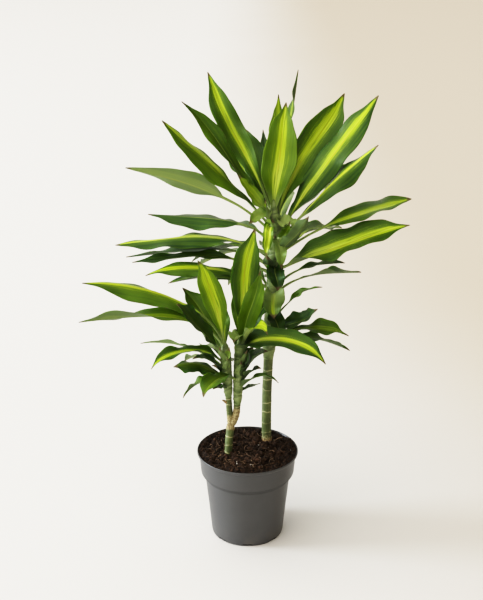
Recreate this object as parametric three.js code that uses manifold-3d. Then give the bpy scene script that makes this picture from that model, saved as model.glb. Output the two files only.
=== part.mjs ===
/**
 * Potted corn plant: a tall cane and a shorter forked cane, both with striped, arching leaves, in a
 * plastic nursery pot filled with peat.
 *
 * Millimetres. +X is right, +Y is away from the viewer, +Z is up. The origin is the middle of the
 * pot's underside, on the surface that the pot stands on.
 */
import * as THREE from 'three';
import { mergeVertices } from 'three/addons/utils/BufferGeometryUtils.js';
import Module from 'manifold-3d';

const wasm = await Module();
wasm.setup();

// ---------------------------------------------------------------- driving dimensions

const POT = {
  height: 153, rimRadius: 85, lipFoot: 146.5, bandRadius: 81.2, bandFoot: 116, bandFootRadius: 78.6,
  bodyTop: 106, bodyRadius: 71.8, footRadius: 60.5, wall: 1.6, floor: 2.6,
  notches: 8, notchWidth: 18, notchHeight: 3.8, notchDepth: 15, sides: 48,
};
const SOIL = { edgeHeight: 151, crown: 2, lump: 1.6, rings: 8, clearance: 0.5 };
const GAP = 0.3; // between pieces that touch
const HOLE_DEPTH = 70; // how far a cane reaches into the soil
const BLADE_THICKNESS = 1;
const STALK_WIDTH = 9;
const TIP_WIDTH = 1.6;
const TIP_SLIMMING = 0.38; // share by which the blade narrows again just before its tip
const OUTLINE_FALL = 0.8; // power at which the blade narrows towards its tip
const CLASP_WIDTH = 6; // added to the stalk where it clasps the stem
const CLASP_FOLD = 62; // degrees by which the halves of the clasp are folded up
const TIP_FOLD = 10; // degrees added to the fold at the tip
const HANDLE = 0.38; // share of the leaf's chord that its curve runs straight at each end
const WAVES = 2.2; // waves along each edge

// Centre lines, listed upwards as [right, away, up].
const REAR_STEM = [
  [31, 28, 60], [33, 34, 150], [32, 37, 175], [32.5, 42, 240], [35, 47, 310], [39, 51, 390],
  [43, 52, 460], [44, 52, 500], [41, 54, 560], [41, 54, 575],
];
const FRONT_TRUNK = [[-33, -17, 60], [-32.5, -14, 150], [-31, -8, 176], [-28, -1, 200]];
const LEFT_STEM = [[-28, -1, 196], [-30.5, -2, 226], [-32, -3, 259], [-35, -4, 300], [-38, -5, 360]];
const RIGHT_STEM = [
  [-28, -1, 196], [-19, -1, 218], [-17, -1, 240], [-16, 0, 270], [-14, 0, 308], [-12, 0, 360],
];
const REAR_BARE_TOP = 300; // where the bare rear cane ends and its leafy shoot starts
const LEFT_BARE_TOP = 252;
const RIGHT_BARE_TOP = 238;
const REAR_RADIUS = 8;
const TRUNK_RADIUS = 6.6;
const LEFT_RADIUS = 5;
const RIGHT_RADIUS = 5.6;

// Leafy shoots as [height, radius]: the clasped leaf bases make them thicker than the bare canes.
const REAR_SHOOT = [[REAR_BARE_TOP, REAR_RADIUS], [320, 10.5], [545, 10.5], [562, 6], [574, 1]];
const LEFT_SHOOT = [[LEFT_BARE_TOP, LEFT_RADIUS], [262, 6.8], [290, 8.5], [332, 8.5], [344, 5], [352, 1]];
const RIGHT_SHOOT = [[RIGHT_BARE_TOP, RIGHT_RADIUS], [248, 7], [290, 8.5], [336, 8.5], [348, 5], [357, 1]];

// One row for each leaf: the height of its root, the reach of its tip from there (right, away, up),
// the angles above the horizontal at which it leaves the stem and at which its tip points, and its
// width. roll and twist turn the blade about its rib at mid-length and at the tip, turn faces it
// another way than its reach, fold is the angle of its halves, stalk is the bare share of it, base
// the power at which it widens from there, and wave the height of the waves of its edges.
const PLAIN_LEAF = {
  swing: 0, roll: 0, twist: 0, turn: 0, fold: 20, stalk: 0.16, base: 1.15, wave: 3.5,
};
const REAR_LEAVES = [
  { at: 532, tip: [-109, 110, 227], leave: 65, arrive: 62, width: 46, roll: 38, wave: 5.5 },
  { at: 524, tip: [-146, 18, 206], leave: 57, arrive: 46, width: 31, roll: 30, twist: 25, stalk: 0.12,
    wave: 4.5 },
  { at: 516, tip: [-176, -32, 193], leave: 54, arrive: 44, width: 48, roll: 30, twist: 6, fold: -20 },
  { at: 509, tip: [-232, -50, 132], leave: 52, arrive: 20, width: 42, roll: -60, stalk: 0.42, base: 0.6,
    wave: 4.5 },
  { at: 485, tip: [-209, 60, 49], leave: 62, arrive: 7, width: 44, roll: 18, fold: -24, stalk: 0.36,
    base: 0.6 },
  { at: 472, tip: [-262, 30, 18], leave: 34, arrive: -6, width: 46, roll: 15, fold: -20, stalk: 0.2,
    base: 0.9, wave: 4.5 },
  { at: 462, tip: [-140, 110, -30], leave: 40, arrive: -35, width: 40, roll: 5 },
  { at: 452, tip: [-247, 60, 6], leave: 38, arrive: -6, width: 30, roll: 5, stalk: 0.3, wave: 4.5 },
  { at: 442, tip: [-234, 25, 17], leave: 34, arrive: -8, width: 30, roll: 14, stalk: 0.3, base: 0.8 },
  { at: 416, tip: [-208, -10, 34], leave: 34, arrive: -18, width: 34, roll: 22, fold: -8, stalk: 0.2 },
  { at: 402, tip: [-175, 60, 8], leave: 42, arrive: -18, width: 34, roll: 10, stalk: 0.3, wave: 4.5 },
  { at: 545, tip: [20, 85, 169], leave: 88, arrive: 62, width: 61, turn: 13, fold: 16, stalk: 0.04,
    base: 0.7, wave: 2 },
  { at: 538, tip: [9, 170, 173], leave: 74, arrive: 52, width: 34, roll: -30 },
  { at: 553, tip: [42, 150, 203], leave: 66, arrive: 68, width: 26, roll: 35, twist: 50 },
  { at: 508, tip: [-18, 185, 139], leave: 58, arrive: 30, width: 24 },
  { at: 515, tip: [-48, 130, 145], leave: 64, arrive: 42, width: 56, turn: -10, wave: 4.5 },
  { at: 512, tip: [117, 110, 211], leave: 80, arrive: 46, width: 60, roll: -45, stalk: 0.1 },
  { at: 484, tip: [163, 24, 252], leave: 70, arrive: 52, width: 54, roll: -42, fold: -8, stalk: 0.14,
    wave: 4.5 },
  { at: 488, tip: [158, -20, 182], leave: 58, arrive: 44, width: 43, roll: -38, fold: -30, stalk: 0.28,
    wave: 5 },
  { at: 474, tip: [220, 10, 99], leave: 38, arrive: 11, width: 50, roll: -22, fold: 5, stalk: 0.3,
    base: 1.7, wave: 6 },
  { at: 450, tip: [216, -20, 88], leave: 27, arrive: 17, width: 65, roll: -34, stalk: 0.1, base: 0.75,
    wave: 5 },
  { at: 452, tip: [51, -80, 118], leave: 75, arrive: 55, width: 30, roll: 20, stalk: 0.22, wave: 4.5 },
  { at: 415, tip: [123, 60, 32], leave: 50, arrive: -10, width: 28, stalk: 0.4 },
  { at: 403, tip: [153, 70, 24], leave: 46, arrive: -6, width: 36, roll: 16, stalk: 0.34, wave: 4.5 },
  { at: 358, tip: [83, -30, 79], leave: 56, arrive: 10, width: 15, roll: -18, stalk: 0.32 },
  { at: 355, tip: [76, -40, 48], leave: 10, arrive: 48, width: 42, roll: -30, base: 0.8 },
  { at: 327, tip: [130, -30, 25], leave: 45, arrive: -18, width: 36, roll: -15, stalk: 0.25, wave: 6 },
  { at: 309, tip: [139, 30, -8], leave: 50, arrive: -30, width: 30, stalk: 0.25, wave: 5 },
  { at: 411, tip: [2, -42, -25], leave: 78, arrive: -82, width: 41, base: 0.5 },
  { at: 455, tip: [5, -45, -20], leave: 75, arrive: -85, width: 33, base: 0.7 },
  { at: 525, tip: [-13, -46, -32], leave: 66, arrive: -84, width: 20, swing: -60, base: 0.5 },
  { at: 530, tip: [-58, -20, 90], leave: 72, arrive: 66, width: 26, roll: 60 },
  { at: 448, tip: [-12, -24, 40], leave: 66, arrive: 84, width: 24, base: 0.8 },
  { at: 372, tip: [14, -60, -22], leave: 60, arrive: -66, width: 30, base: 0.7 },
  { at: 395, tip: [-30, -45, -28], leave: 60, arrive: -70, width: 34, base: 0.8 },
  { at: 500, tip: [-16, -20, 80], leave: 84, arrive: 80, width: 17, turn: 140 },
  { at: 462, tip: [24, -24, 84], leave: 80, arrive: 74, width: 18, turn: 110 },
  { at: 548, tip: [-40, -30, -6], leave: 46, arrive: -34, width: 24, roll: 40, base: 0.6 },
  { at: 537, tip: [40, -28, 0], leave: 12, arrive: -22, width: 26, roll: -30, stalk: 0.04, base: 0.5 },
  { at: 506, tip: [10, -44, -34], leave: 74, arrive: -80, width: 22, base: 0.6 },
  { at: 458, tip: [0, -17, 64], leave: 78, arrive: 84, width: 17, stalk: 0.05, base: 0.6, wave: 1.5 },
  { at: 498, tip: [-5, -18, 50], leave: 78, arrive: 82, width: 16, stalk: 0.05, base: 0.6, wave: 1.5 },
  { at: 522, tip: [90, 150, 140], leave: 60, arrive: 40, width: 46 },
  { at: 500, tip: [-95, 165, 150], leave: 56, arrive: 36, width: 44, wave: 5 },
  { at: 495, tip: [150, 150, 110], leave: 62, arrive: 25, width: 46 },
  { at: 480, tip: [-125, 165, 0], leave: 50, arrive: -12, width: 40, stalk: 0.25 },
  { at: 468, tip: [25, 240, 60], leave: 58, arrive: 0, width: 46, stalk: 0.22 },
  { at: 450, tip: [125, 185, 20], leave: 55, arrive: -15, width: 42, wave: 5 },
  { at: 436, tip: [-130, 180, -35], leave: 50, arrive: -30, width: 42, stalk: 0.25 },
  { at: 420, tip: [-5, 225, 0], leave: 52, arrive: -25, width: 42 },
  { at: 400, tip: [-75, 190, -40], leave: 48, arrive: -40, width: 40, wave: 5 },
  { at: 385, tip: [12, 185, -30], leave: 48, arrive: -45, width: 38, stalk: 0.25 },
  { at: 365, tip: [-60, 150, -45], leave: 42, arrive: -45, width: 36 },
  { at: 345, tip: [-8, 165, -30], leave: 45, arrive: -50, width: 36, stalk: 0.25 },
  { at: 325, tip: [-50, 110, -40], leave: 38, arrive: -55, width: 32 },
];
const LEFT_LEAVES = [
  { at: 330, tip: [-42, -22, 168], leave: 80, arrive: 62, width: 42, turn: -105, wave: 2.5 },
  { at: 328, tip: [-228, 0, 126], leave: 80, arrive: 2, width: 50, roll: 18, fold: -32, stalk: 0.3,
    base: 0.65 },
  { at: 325, tip: [-234, -20, 67], leave: 76, arrive: -6, width: 40, roll: 15, twist: -75, stalk: 0.3,
    base: 0.6 },
  { at: 316, tip: [-75, -62, 124], leave: 56, arrive: 48, width: 44, roll: 48 },
  { at: 324, tip: [-72, 60, 98], leave: 62, arrive: 35, width: 42, roll: 18 },
  { at: 292, tip: [-143, 30, 43], leave: 52, arrive: -12, width: 16, roll: -30, stalk: 0.3, wave: 2 },
  { at: 300, tip: [-118, -60, 28], leave: 68, arrive: -50, width: 31, roll: 10, base: 0.8, wave: 4.5 },
  { at: 282, tip: [-56, -15, 44], leave: 66, arrive: -15, width: 30 },
  { at: 272, tip: [-88, -15, 40], leave: 62, arrive: -24, width: 36, roll: 20, fold: -25 },
  { at: 281, tip: [-25, -4, 29], leave: 60, arrive: 20, width: 24 },
  { at: 278, tip: [-73, -10, -24], leave: 42, arrive: -62, width: 25, roll: -15, stalk: 0.15, base: 0.8 },
  { at: 263, tip: [-24, -30, 16], leave: 40, arrive: -10, width: 22 },
  { at: 292, tip: [5, -22, 58], leave: 76, arrive: 76, width: 14, turn: 120 },
  { at: 300, tip: [-10, -20, 50], leave: 78, arrive: 82, width: 15, stalk: 0.05, base: 0.6, wave: 1.5 },
  { at: 284, tip: [1, -20, 48], leave: 78, arrive: 82, width: 14, stalk: 0.05, base: 0.6, wave: 1.5 },
  { at: 318, tip: [-20, 95, 70], leave: 68, arrive: 15, width: 36 },
  { at: 312, tip: [-95, 115, 55], leave: 58, arrive: 0, width: 36, wave: 5 },
  { at: 296, tip: [-45, 110, 0], leave: 50, arrive: -25, width: 32, stalk: 0.25 },
  { at: 288, tip: [-75, 85, -10], leave: 48, arrive: -40, width: 30, stalk: 0.25 },
];
const RIGHT_LEAVES = [
  { at: 335, tip: [24, -8, 210], leave: 86, arrive: 74, width: 51, turn: 108 },
  { at: 322, tip: [33, -30, 160], leave: 80, arrive: 76, width: 38, turn: 130, base: 0.8 },
  { at: 312, tip: [135, -90, 37], leave: 80, arrive: -45, width: 52, roll: -26, fold: 12, stalk: 0.06,
    base: 0.5 },
  { at: 268, tip: [48, -30, 77], leave: 66, arrive: 25, width: 40, roll: -20 },
  { at: 262, tip: [38, -20, 49], leave: 64, arrive: 15, width: 24 },
  { at: 330, tip: [44, -74, 62], leave: 60, arrive: -30, width: 25, roll: -10 },
  { at: 256, tip: [66, -40, 38], leave: 66, arrive: -38, width: 15, stalk: 0.05, base: 0.5, wave: 2 },
  { at: 350, tip: [-10, -40, 14], leave: 80, arrive: -30, width: 34, stalk: 0.04, base: 0.5, wave: 2 },
  { at: 246, tip: [38, 52, 5], leave: 62, arrive: -6, width: 12, stalk: 0.05, base: 0.4, wave: 1.5 },
  { at: 272, tip: [-54, -82, 16], leave: 56, arrive: -60, width: 40 },
  { at: 292, tip: [14, -22, 52], leave: 78, arrive: 78, width: 16, stalk: 0.05, base: 0.6, wave: 1.5 },
  { at: 274, tip: [5, -20, 50], leave: 78, arrive: 84, width: 15, stalk: 0.05, base: 0.6, wave: 1.5 },
  { at: 276, tip: [24, 52, 42], leave: 60, arrive: 20, width: 32 },
  { at: 325, tip: [4, 115, 92], leave: 72, arrive: 30, width: 36 },
  { at: 300, tip: [0, 90, 32], leave: 60, arrive: -15, width: 32, stalk: 0.25 },
  { at: 284, tip: [-12, 100, -14], leave: 50, arrive: -40, width: 28 },
];

// ---------------------------------------------------------------- solids and curves

const radians = THREE.MathUtils.degToRad;

/** A closed geometry as a solid that can be joined and cut. Points within the weld become one. */
function solidOf(geometry, weld = 1e-4) {
  const bare = geometry.clone();
  bare.deleteAttribute('normal');
  bare.deleteAttribute('uv');
  const merged = mergeVertices(bare, weld);
  return new wasm.Manifold(new wasm.Mesh({
    numProp: 3,
    vertProperties: new Float32Array(merged.attributes.position.array),
    triVerts: new Uint32Array(merged.index.array),
  }));
}

/** A solid as a geometry for a mesh. */
function geometryOf(solid) {
  const { vertProperties, triVerts } = solid.getMesh();
  const geometry = new THREE.BufferGeometry();
  geometry.setAttribute('position', new THREE.BufferAttribute(vertProperties, 3));
  geometry.setIndex(new THREE.BufferAttribute(triVerts, 1));
  geometry.computeVertexNormals();
  return geometry;
}

/** The largest body of a solid, without the scraps and sealed hollows that a join leaves. */
function mainBody(solid) {
  return [0.01, 0.001].reduce((body, weld) => {
    const shells = solidOf(geometryOf(body), weld).decompose();
    return shells.reduce((largest, shell) => (shell.volume() > largest.volume() ? shell : largest));
  }, solid);
}

/**
 * A closed skin over rings of points, each ring running anticlockwise as seen from the last one.
 * From lowerHalf on, the quads of a ring are split along their other diagonal.
 */
function skin(rings, lowerHalf = Infinity) {
  const count = rings[0].length;
  const positions = rings.flat().flatMap((point) => point.toArray());
  const index = [];
  for (let i = 0; i < rings.length - 1; i += 1) {
    for (let j = 0; j < count; j += 1) {
      const a = i * count + j;
      const b = i * count + ((j + 1) % count);
      const c = b + count;
      const d = a + count;
      if (j < lowerHalf) index.push(a, b, c, a, c, d);
      else index.push(a, b, d, b, c, d);
    }
  }
  const last = (rings.length - 1) * count;
  for (let j = 1; j < count - 1; j += 1) {
    index.push(0, j + 1, j);
    index.push(last, last + j, last + j + 1);
  }
  const geometry = new THREE.BufferGeometry();
  geometry.setAttribute('position', new THREE.Float32BufferAttribute(positions, 3));
  geometry.setIndex(index);
  return geometry;
}

/** The point of a centre line at a height. */
function stemPoint(line, height) {
  const last = line.length - 2;
  const found = line.findIndex((point, i) => i <= last && height < line[i + 1][2]);
  const i = found < 0 ? last : found;
  const [low, high] = [line[i], line[i + 1]];
  const share = (height - low[2]) / (high[2] - low[2]);
  const [x, y] = [0, 1].map((k) => THREE.MathUtils.lerp(low[k], high[k], share));
  return new THREE.Vector3(x, y, height);
}

/** A stem along a centre line, through stations of [height, radius]. */
function stem(line, stations, sides = 10) {
  return skin(stations.map(([height, radius]) => {
    const centre = stemPoint(line, height);
    return Array.from({ length: sides }, (_, k) => {
      const angle = (2 * Math.PI * k) / sides;
      return new THREE.Vector3(Math.cos(angle), Math.sin(angle), 0).multiplyScalar(radius).add(centre);
    });
  }));
}

/** Stations of a bare cane whose old leaf scars stand out as low rings. */
function scarredStations(from, to, radius, spacing) {
  const stations = [[from, radius]];
  const scar = 0.5;
  for (let height = from + spacing; height < to - spacing / 2; height += spacing) {
    stations.push([height - 1.5, radius], [height, radius + scar], [height + 2, radius]);
  }
  stations.push([to, radius]);
  return stations;
}

// ---------------------------------------------------------------- leaves

function direction(heading, rise) {
  return new THREE.Vector3(
    Math.cos(heading) * Math.cos(rise), Math.sin(heading) * Math.cos(rise), Math.sin(rise),
  );
}

/** Half the blade's width at a share t of its length. */
function halfWidth(leaf, t) {
  const clasp = 1 - THREE.MathUtils.smoothstep(t, 0, 0.12);
  const stalk = STALK_WIDTH * (1 - t) ** 0.6 + CLASP_WIDTH * clasp;
  return Math.max(Math.hypot(stalk, leaf.width * outline(leaf, t)) / 2, TIP_WIDTH / 2);
}

/** The blade's outline, from 0 at the stalk through 1 at its widest to 0 at the tip. */
function outline(leaf, t) {
  const [rise, fall] = [leaf.base, OUTLINE_FALL];
  const widest = rise / (rise + fall);
  const share = THREE.MathUtils.clamp((t - leaf.stalk) / (1 - leaf.stalk), 0, 1);
  const full = (share ** rise * (1 - share) ** fall) / (widest ** rise * (1 - widest) ** fall);
  return full * (1 - TIP_SLIMMING * THREE.MathUtils.smoothstep(t, 0.84, 0.95));
}

/** One leaf: a folded, waved blade carried along its rib. */
function leafBlade(line, row, number) {
  const leaf = { ...PLAIN_LEAF, ...row };
  const root = stemPoint(line, leaf.at);
  const reach = new THREE.Vector3(...leaf.tip);
  const end = root.clone().add(reach);
  const heading = Math.atan2(reach.y, reach.x);
  const swing = radians(leaf.swing);
  const straight = reach.length() * HANDLE;
  const start = direction(heading + swing, radians(leaf.leave)).multiplyScalar(straight).add(root);
  const finish = direction(heading - swing, radians(leaf.arrive)).multiplyScalar(-straight).add(end);
  const rib = new THREE.CubicBezierCurve3(root, start, finish, end);
  const facing = heading + radians(leaf.turn);
  const level = new THREE.Vector3(Math.sin(facing), -Math.cos(facing), 0);
  const steps = Math.round(THREE.MathUtils.clamp(reach.length() / 24, 5, 10));
  const rings = [];
  for (let i = 0; i <= steps; i += 1) {
    const t = i / steps;
    const along = rib.getTangent(t);
    const side = level.clone().addScaledVector(along, -along.dot(level)).normalize();
    const roll = radians(leaf.roll * THREE.MathUtils.smoothstep(t, 0, 0.45)
      + leaf.twist * THREE.MathUtils.smoothstep(t, 0.4, 1));
    side.applyAxisAngle(along, -roll);
    const up = side.clone().cross(along);
    const clasp = 1 - THREE.MathUtils.smoothstep(t, 0.05, 0.45);
    const fold = radians(leaf.fold + (CLASP_FOLD - leaf.fold) * clasp
      + TIP_FOLD * THREE.MathUtils.smoothstep(t, 0.8, 1));
    const half = halfWidth(leaf, t);
    const wave = (hand) => leaf.wave * outline(leaf, t)
      * Math.sin(2 * Math.PI * (WAVES * t + 0.23 * hand) + 2.4 * number);
    const middle = rib.getPoint(t);
    const thick = BLADE_THICKNESS / 2;
    const edge = (hand, face) => middle.clone()
      .addScaledVector(side, hand * (half * Math.cos(fold) - face * thick * Math.sin(fold)))
      .addScaledVector(up, half * Math.sin(fold) + wave(hand) + face * thick * Math.cos(fold));
    const ribPoint = (face) => middle.clone()
      .addScaledVector(up, (face * thick) / Math.max(Math.cos(fold), 0.5));
    rings.push([edge(-1, 1), ribPoint(1), edge(1, 1), edge(1, -1), ribPoint(-1), edge(-1, -1)]);
  }
  return skin(rings, 3);
}

/** A leafy stem with every leaf that grows from it, joined to one body with no sealed hollows. */
function leafCrown(line, stations, rows) {
  const parts = [stem(line, stations), ...rows.map((row, i) => leafBlade(line, row, i))];
  return mainBody(wasm.Manifold.union(parts.map((part) => solidOf(part))));
}

// ---------------------------------------------------------------- pot, soil and canes

/** The pot's wall as [radius, height]: its outside from the foot up, and its inside from the rim down. */
function potWall() {
  const { height, rimRadius, lipFoot, bandRadius, bandFoot, bandFootRadius } = POT;
  const { bodyTop, bodyRadius, footRadius, wall, floor } = POT;
  const outside = [
    [footRadius - 2, 0], [footRadius, 2.5], [footRadius + 0.8, 8], [bodyRadius, bodyTop],
    [bodyRadius + 1.8, bodyTop + 3.6], [bandFootRadius - 1.6, bandFoot - 3.4],
    [bandFootRadius, bandFoot], [bandRadius, lipFoot], [rimRadius, lipFoot + 3],
    [rimRadius, height - 1], [rimRadius - 0.6, height],
  ];
  const inside = [
    [rimRadius - wall, height - 0.6], [rimRadius - wall, lipFoot + 4],
    [bandRadius - wall, lipFoot + 0.9], [bandFootRadius - wall, bandFoot + 0.4],
    [bandFootRadius - 1.1 - wall, bandFoot - 2.4], [bodyRadius + 0.6, bodyTop + 4.8],
    [bodyRadius - wall, bodyTop + 0.6], [footRadius - wall + 0.4, floor],
  ];
  return { outside, inside };
}

/** The pot: a lathed shell with drainage notches cut through the edge of its floor. */
function nurseryPot() {
  const { outside, inside } = potWall();
  const profile = [[0, 0], ...outside, ...inside, [0, POT.floor]]
    .map(([radius, z]) => new THREE.Vector2(radius, z));
  const shell = new THREE.LatheGeometry(profile, POT.sides);
  shell.rotateX(Math.PI / 2);
  let pot = solidOf(shell);
  for (let i = 0; i < POT.notches; i += 1) {
    const notch = new THREE.BoxGeometry(POT.notchWidth, POT.notchDepth, 2 * POT.notchHeight);
    notch.translate(0, -(POT.footRadius + 4 - POT.notchDepth / 2), 0);
    notch.rotateZ((2 * Math.PI * i) / POT.notches);
    pot = pot.subtract(solidOf(notch));
  }
  return pot;
}

/** The root ball: it fills the pot to the lip, is heaped in the middle and has holes for canes. */
function pottingSoil(canes) {
  const edge = POT.rimRadius - POT.wall - SOIL.clearance;
  const bed = POT.floor + GAP;
  const wall = potWall().inside.slice(1).reverse();
  const outer = wall.map(([radius, z]) => [radius - SOIL.clearance, Math.max(z, bed)]);
  const top = Array.from({ length: SOIL.rings }, (_, i) => (
    [edge * (1 - (i + 1) / SOIL.rings), SOIL.edgeHeight]));
  const profile = [[0, bed], ...outer, [edge, SOIL.edgeHeight], ...top]
    .map(([radius, z]) => new THREE.Vector2(Math.max(radius, 0), z));
  const ball = new THREE.LatheGeometry(profile, 36);
  ball.rotateX(Math.PI / 2);
  const position = ball.attributes.position;
  for (let i = 0; i < position.count; i += 1) {
    const [x, y, z] = [position.getX(i), position.getY(i), position.getZ(i)];
    const share = 1 - Math.hypot(x, y) / edge;
    if (z > SOIL.edgeHeight - 0.1 && share > 0.01) {
      const lumps = Math.sin(x / 7 + 1) * Math.cos(y / 6) + Math.sin((x - y) / 4) * 0.5;
      position.setZ(i, z + SOIL.crown * Math.sqrt(share) + SOIL.lump * lumps);
    }
  }
  return canes.reduce((soil, cane) => soil.subtract(solidOf(cane)), solidOf(ball));
}

const CANE_FOOT = SOIL.edgeHeight - HOLE_DEPTH;

/** The hole that a cane stands in: wider than the cane by the gap all round, and open at the top. */
function caneHole(line, radius) {
  const heights = [CANE_FOOT - GAP, POT.height, POT.height + 12];
  return stem(line, heights.map((height) => [height, radius + GAP]), 12);
}

function rearCane() {
  const buried = [[CANE_FOOT, REAR_RADIUS], [POT.height, REAR_RADIUS]];
  const bare = scarredStations(SOIL.edgeHeight + 8, REAR_BARE_TOP - GAP, REAR_RADIUS, 17);
  return solidOf(stem(REAR_STEM, [...buried, ...bare], 12));
}

/** The front cane: one trunk that forks low down, with the dry stub of a lost branch. */
function frontCane() {
  const trunk = stem(FRONT_TRUNK, [
    [CANE_FOOT, TRUNK_RADIUS], [POT.height, TRUNK_RADIUS],
    ...scarredStations(SOIL.edgeHeight + 5, 186, TRUNK_RADIUS, 13), [199, 7],
  ]);
  const left = stem(LEFT_STEM, scarredStations(197, LEFT_BARE_TOP - GAP, LEFT_RADIUS, 13));
  const right = stem(RIGHT_STEM, [
    [197, 5], [208, 6.5], ...scarredStations(216, RIGHT_BARE_TOP - GAP, RIGHT_RADIUS, 11),
  ]);
  const stub = new THREE.ConeGeometry(2.2, 9, 7);
  stub.rotateZ(radians(58));
  const seat = stemPoint(LEFT_STEM, 243);
  stub.translate(seat.x - LEFT_RADIUS - 2.2, seat.y - 2, seat.z + 1);
  return wasm.Manifold.union([trunk, left, right, stub].map((piece) => solidOf(piece)));
}

// ---------------------------------------------------------------- assembly

const FINISH = {
  pot: { color: 0x4a4b4b, roughness: 0.55, metalness: 0 },
  soil: { color: 0x2e211a, roughness: 0.95, metalness: 0 },
  cane: { color: 0x707c40, roughness: 0.6, metalness: 0 },
  leaf: { color: 0x4c8420, roughness: 0.4, metalness: 0 },
};

const plant = new THREE.Group();

function place(name, solid, finish) {
  const mesh = new THREE.Mesh(geometryOf(solid), new THREE.MeshStandardMaterial(finish));
  mesh.name = name;
  plant.add(mesh);
}

const holes = [caneHole(REAR_STEM, REAR_RADIUS), caneHole(FRONT_TRUNK, TRUNK_RADIUS)];
place('nursery_pot', nurseryPot(), FINISH.pot);
place('potting_soil', pottingSoil(holes), FINISH.soil);
place('rear_cane', rearCane(), FINISH.cane);
place('front_cane', frontCane(), FINISH.cane);
place('rear_leaf_crown', leafCrown(REAR_STEM, REAR_SHOOT, REAR_LEAVES), FINISH.leaf);
place('front_left_leaf_crown', leafCrown(LEFT_STEM, LEFT_SHOOT, LEFT_LEAVES), FINISH.leaf);
place('front_right_leaf_crown', leafCrown(RIGHT_STEM, RIGHT_SHOOT, RIGHT_LEAVES), FINISH.leaf);

export default plant;
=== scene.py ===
"""Potted corn plant: the finished look of each piece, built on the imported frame.

Metres. +X is right, +Y is away from the viewer, +Z is up, and the origin is the middle of the pot's
underside. The leaf rows, the centre lines, and the sizes of the classes that build the pieces are
in millimetres and are multiplied by MM.
"""

import logging
import math
from dataclasses import dataclass
from enum import Enum
from typing import Any, Optional, Sequence, Union

import bmesh
import bpy
from mathutils import Matrix, Vector, noise


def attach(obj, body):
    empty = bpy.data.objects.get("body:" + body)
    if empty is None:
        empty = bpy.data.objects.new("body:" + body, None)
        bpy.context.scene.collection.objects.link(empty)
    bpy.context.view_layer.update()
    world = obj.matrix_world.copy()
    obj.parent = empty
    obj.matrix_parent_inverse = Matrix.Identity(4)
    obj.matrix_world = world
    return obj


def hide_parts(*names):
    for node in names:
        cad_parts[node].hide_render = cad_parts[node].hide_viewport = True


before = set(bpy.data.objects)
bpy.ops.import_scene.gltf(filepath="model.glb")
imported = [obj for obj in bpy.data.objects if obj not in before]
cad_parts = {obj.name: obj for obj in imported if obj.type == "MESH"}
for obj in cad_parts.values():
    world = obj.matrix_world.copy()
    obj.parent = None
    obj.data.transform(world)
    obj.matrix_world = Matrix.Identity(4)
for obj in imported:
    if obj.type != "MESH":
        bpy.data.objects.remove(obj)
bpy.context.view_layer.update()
MM = 0.001
BODY = "root"
FULL_TURN = 2 * math.pi
GOLDEN_SHARE = 0.618034

log = logging.getLogger("potted_corn_plant")

Colour = tuple[float, float, float, float]
Point = tuple[float, float, float]
Stations = tuple[tuple[float, float], ...]


class Kind(Enum):
    """What an attribute holds for each point."""

    NUMBER = "FLOAT"
    VECTOR = "FLOAT_VECTOR"


class Domain(Enum):
    """What an attribute is stored on."""

    POINT = "POINT"
    INSTANCE = "INSTANCE"


class Slot(Enum):
    """The material slots of the record."""

    POT = "pot_plastic"
    PEAT = "peat"
    CANE = "green_cane"
    LEAF = "striped_leaf"


class Margin(Enum):
    """The two margins of a leaf, by their side of the rib."""

    LEFT = -1
    RIGHT = 1


def rgb(red: float, green: float, blue: float) -> Colour:
    """An opaque linear colour."""
    return (red, green, blue, 1.0)


def smoothstep(low: float, high: float, value: float) -> float:
    """0 below low, 1 above high, and a smooth ramp between them."""
    share = min(max((value - low) / (high - low), 0.0), 1.0)
    return share * share * (3 - 2 * share)


def mix(a: float, b: float, share: float) -> float:
    """The number that lies a share of the way from a to b."""
    return a + (b - a) * share


def heading_vector(heading: float, rise: float) -> Vector:
    """The unit vector of a heading and a rise, both in radians."""
    return Vector((math.cos(heading) * math.cos(rise), math.sin(heading) * math.cos(rise),
                   math.sin(rise)))


# ---------------------------------------------------------------- node sheets


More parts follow.
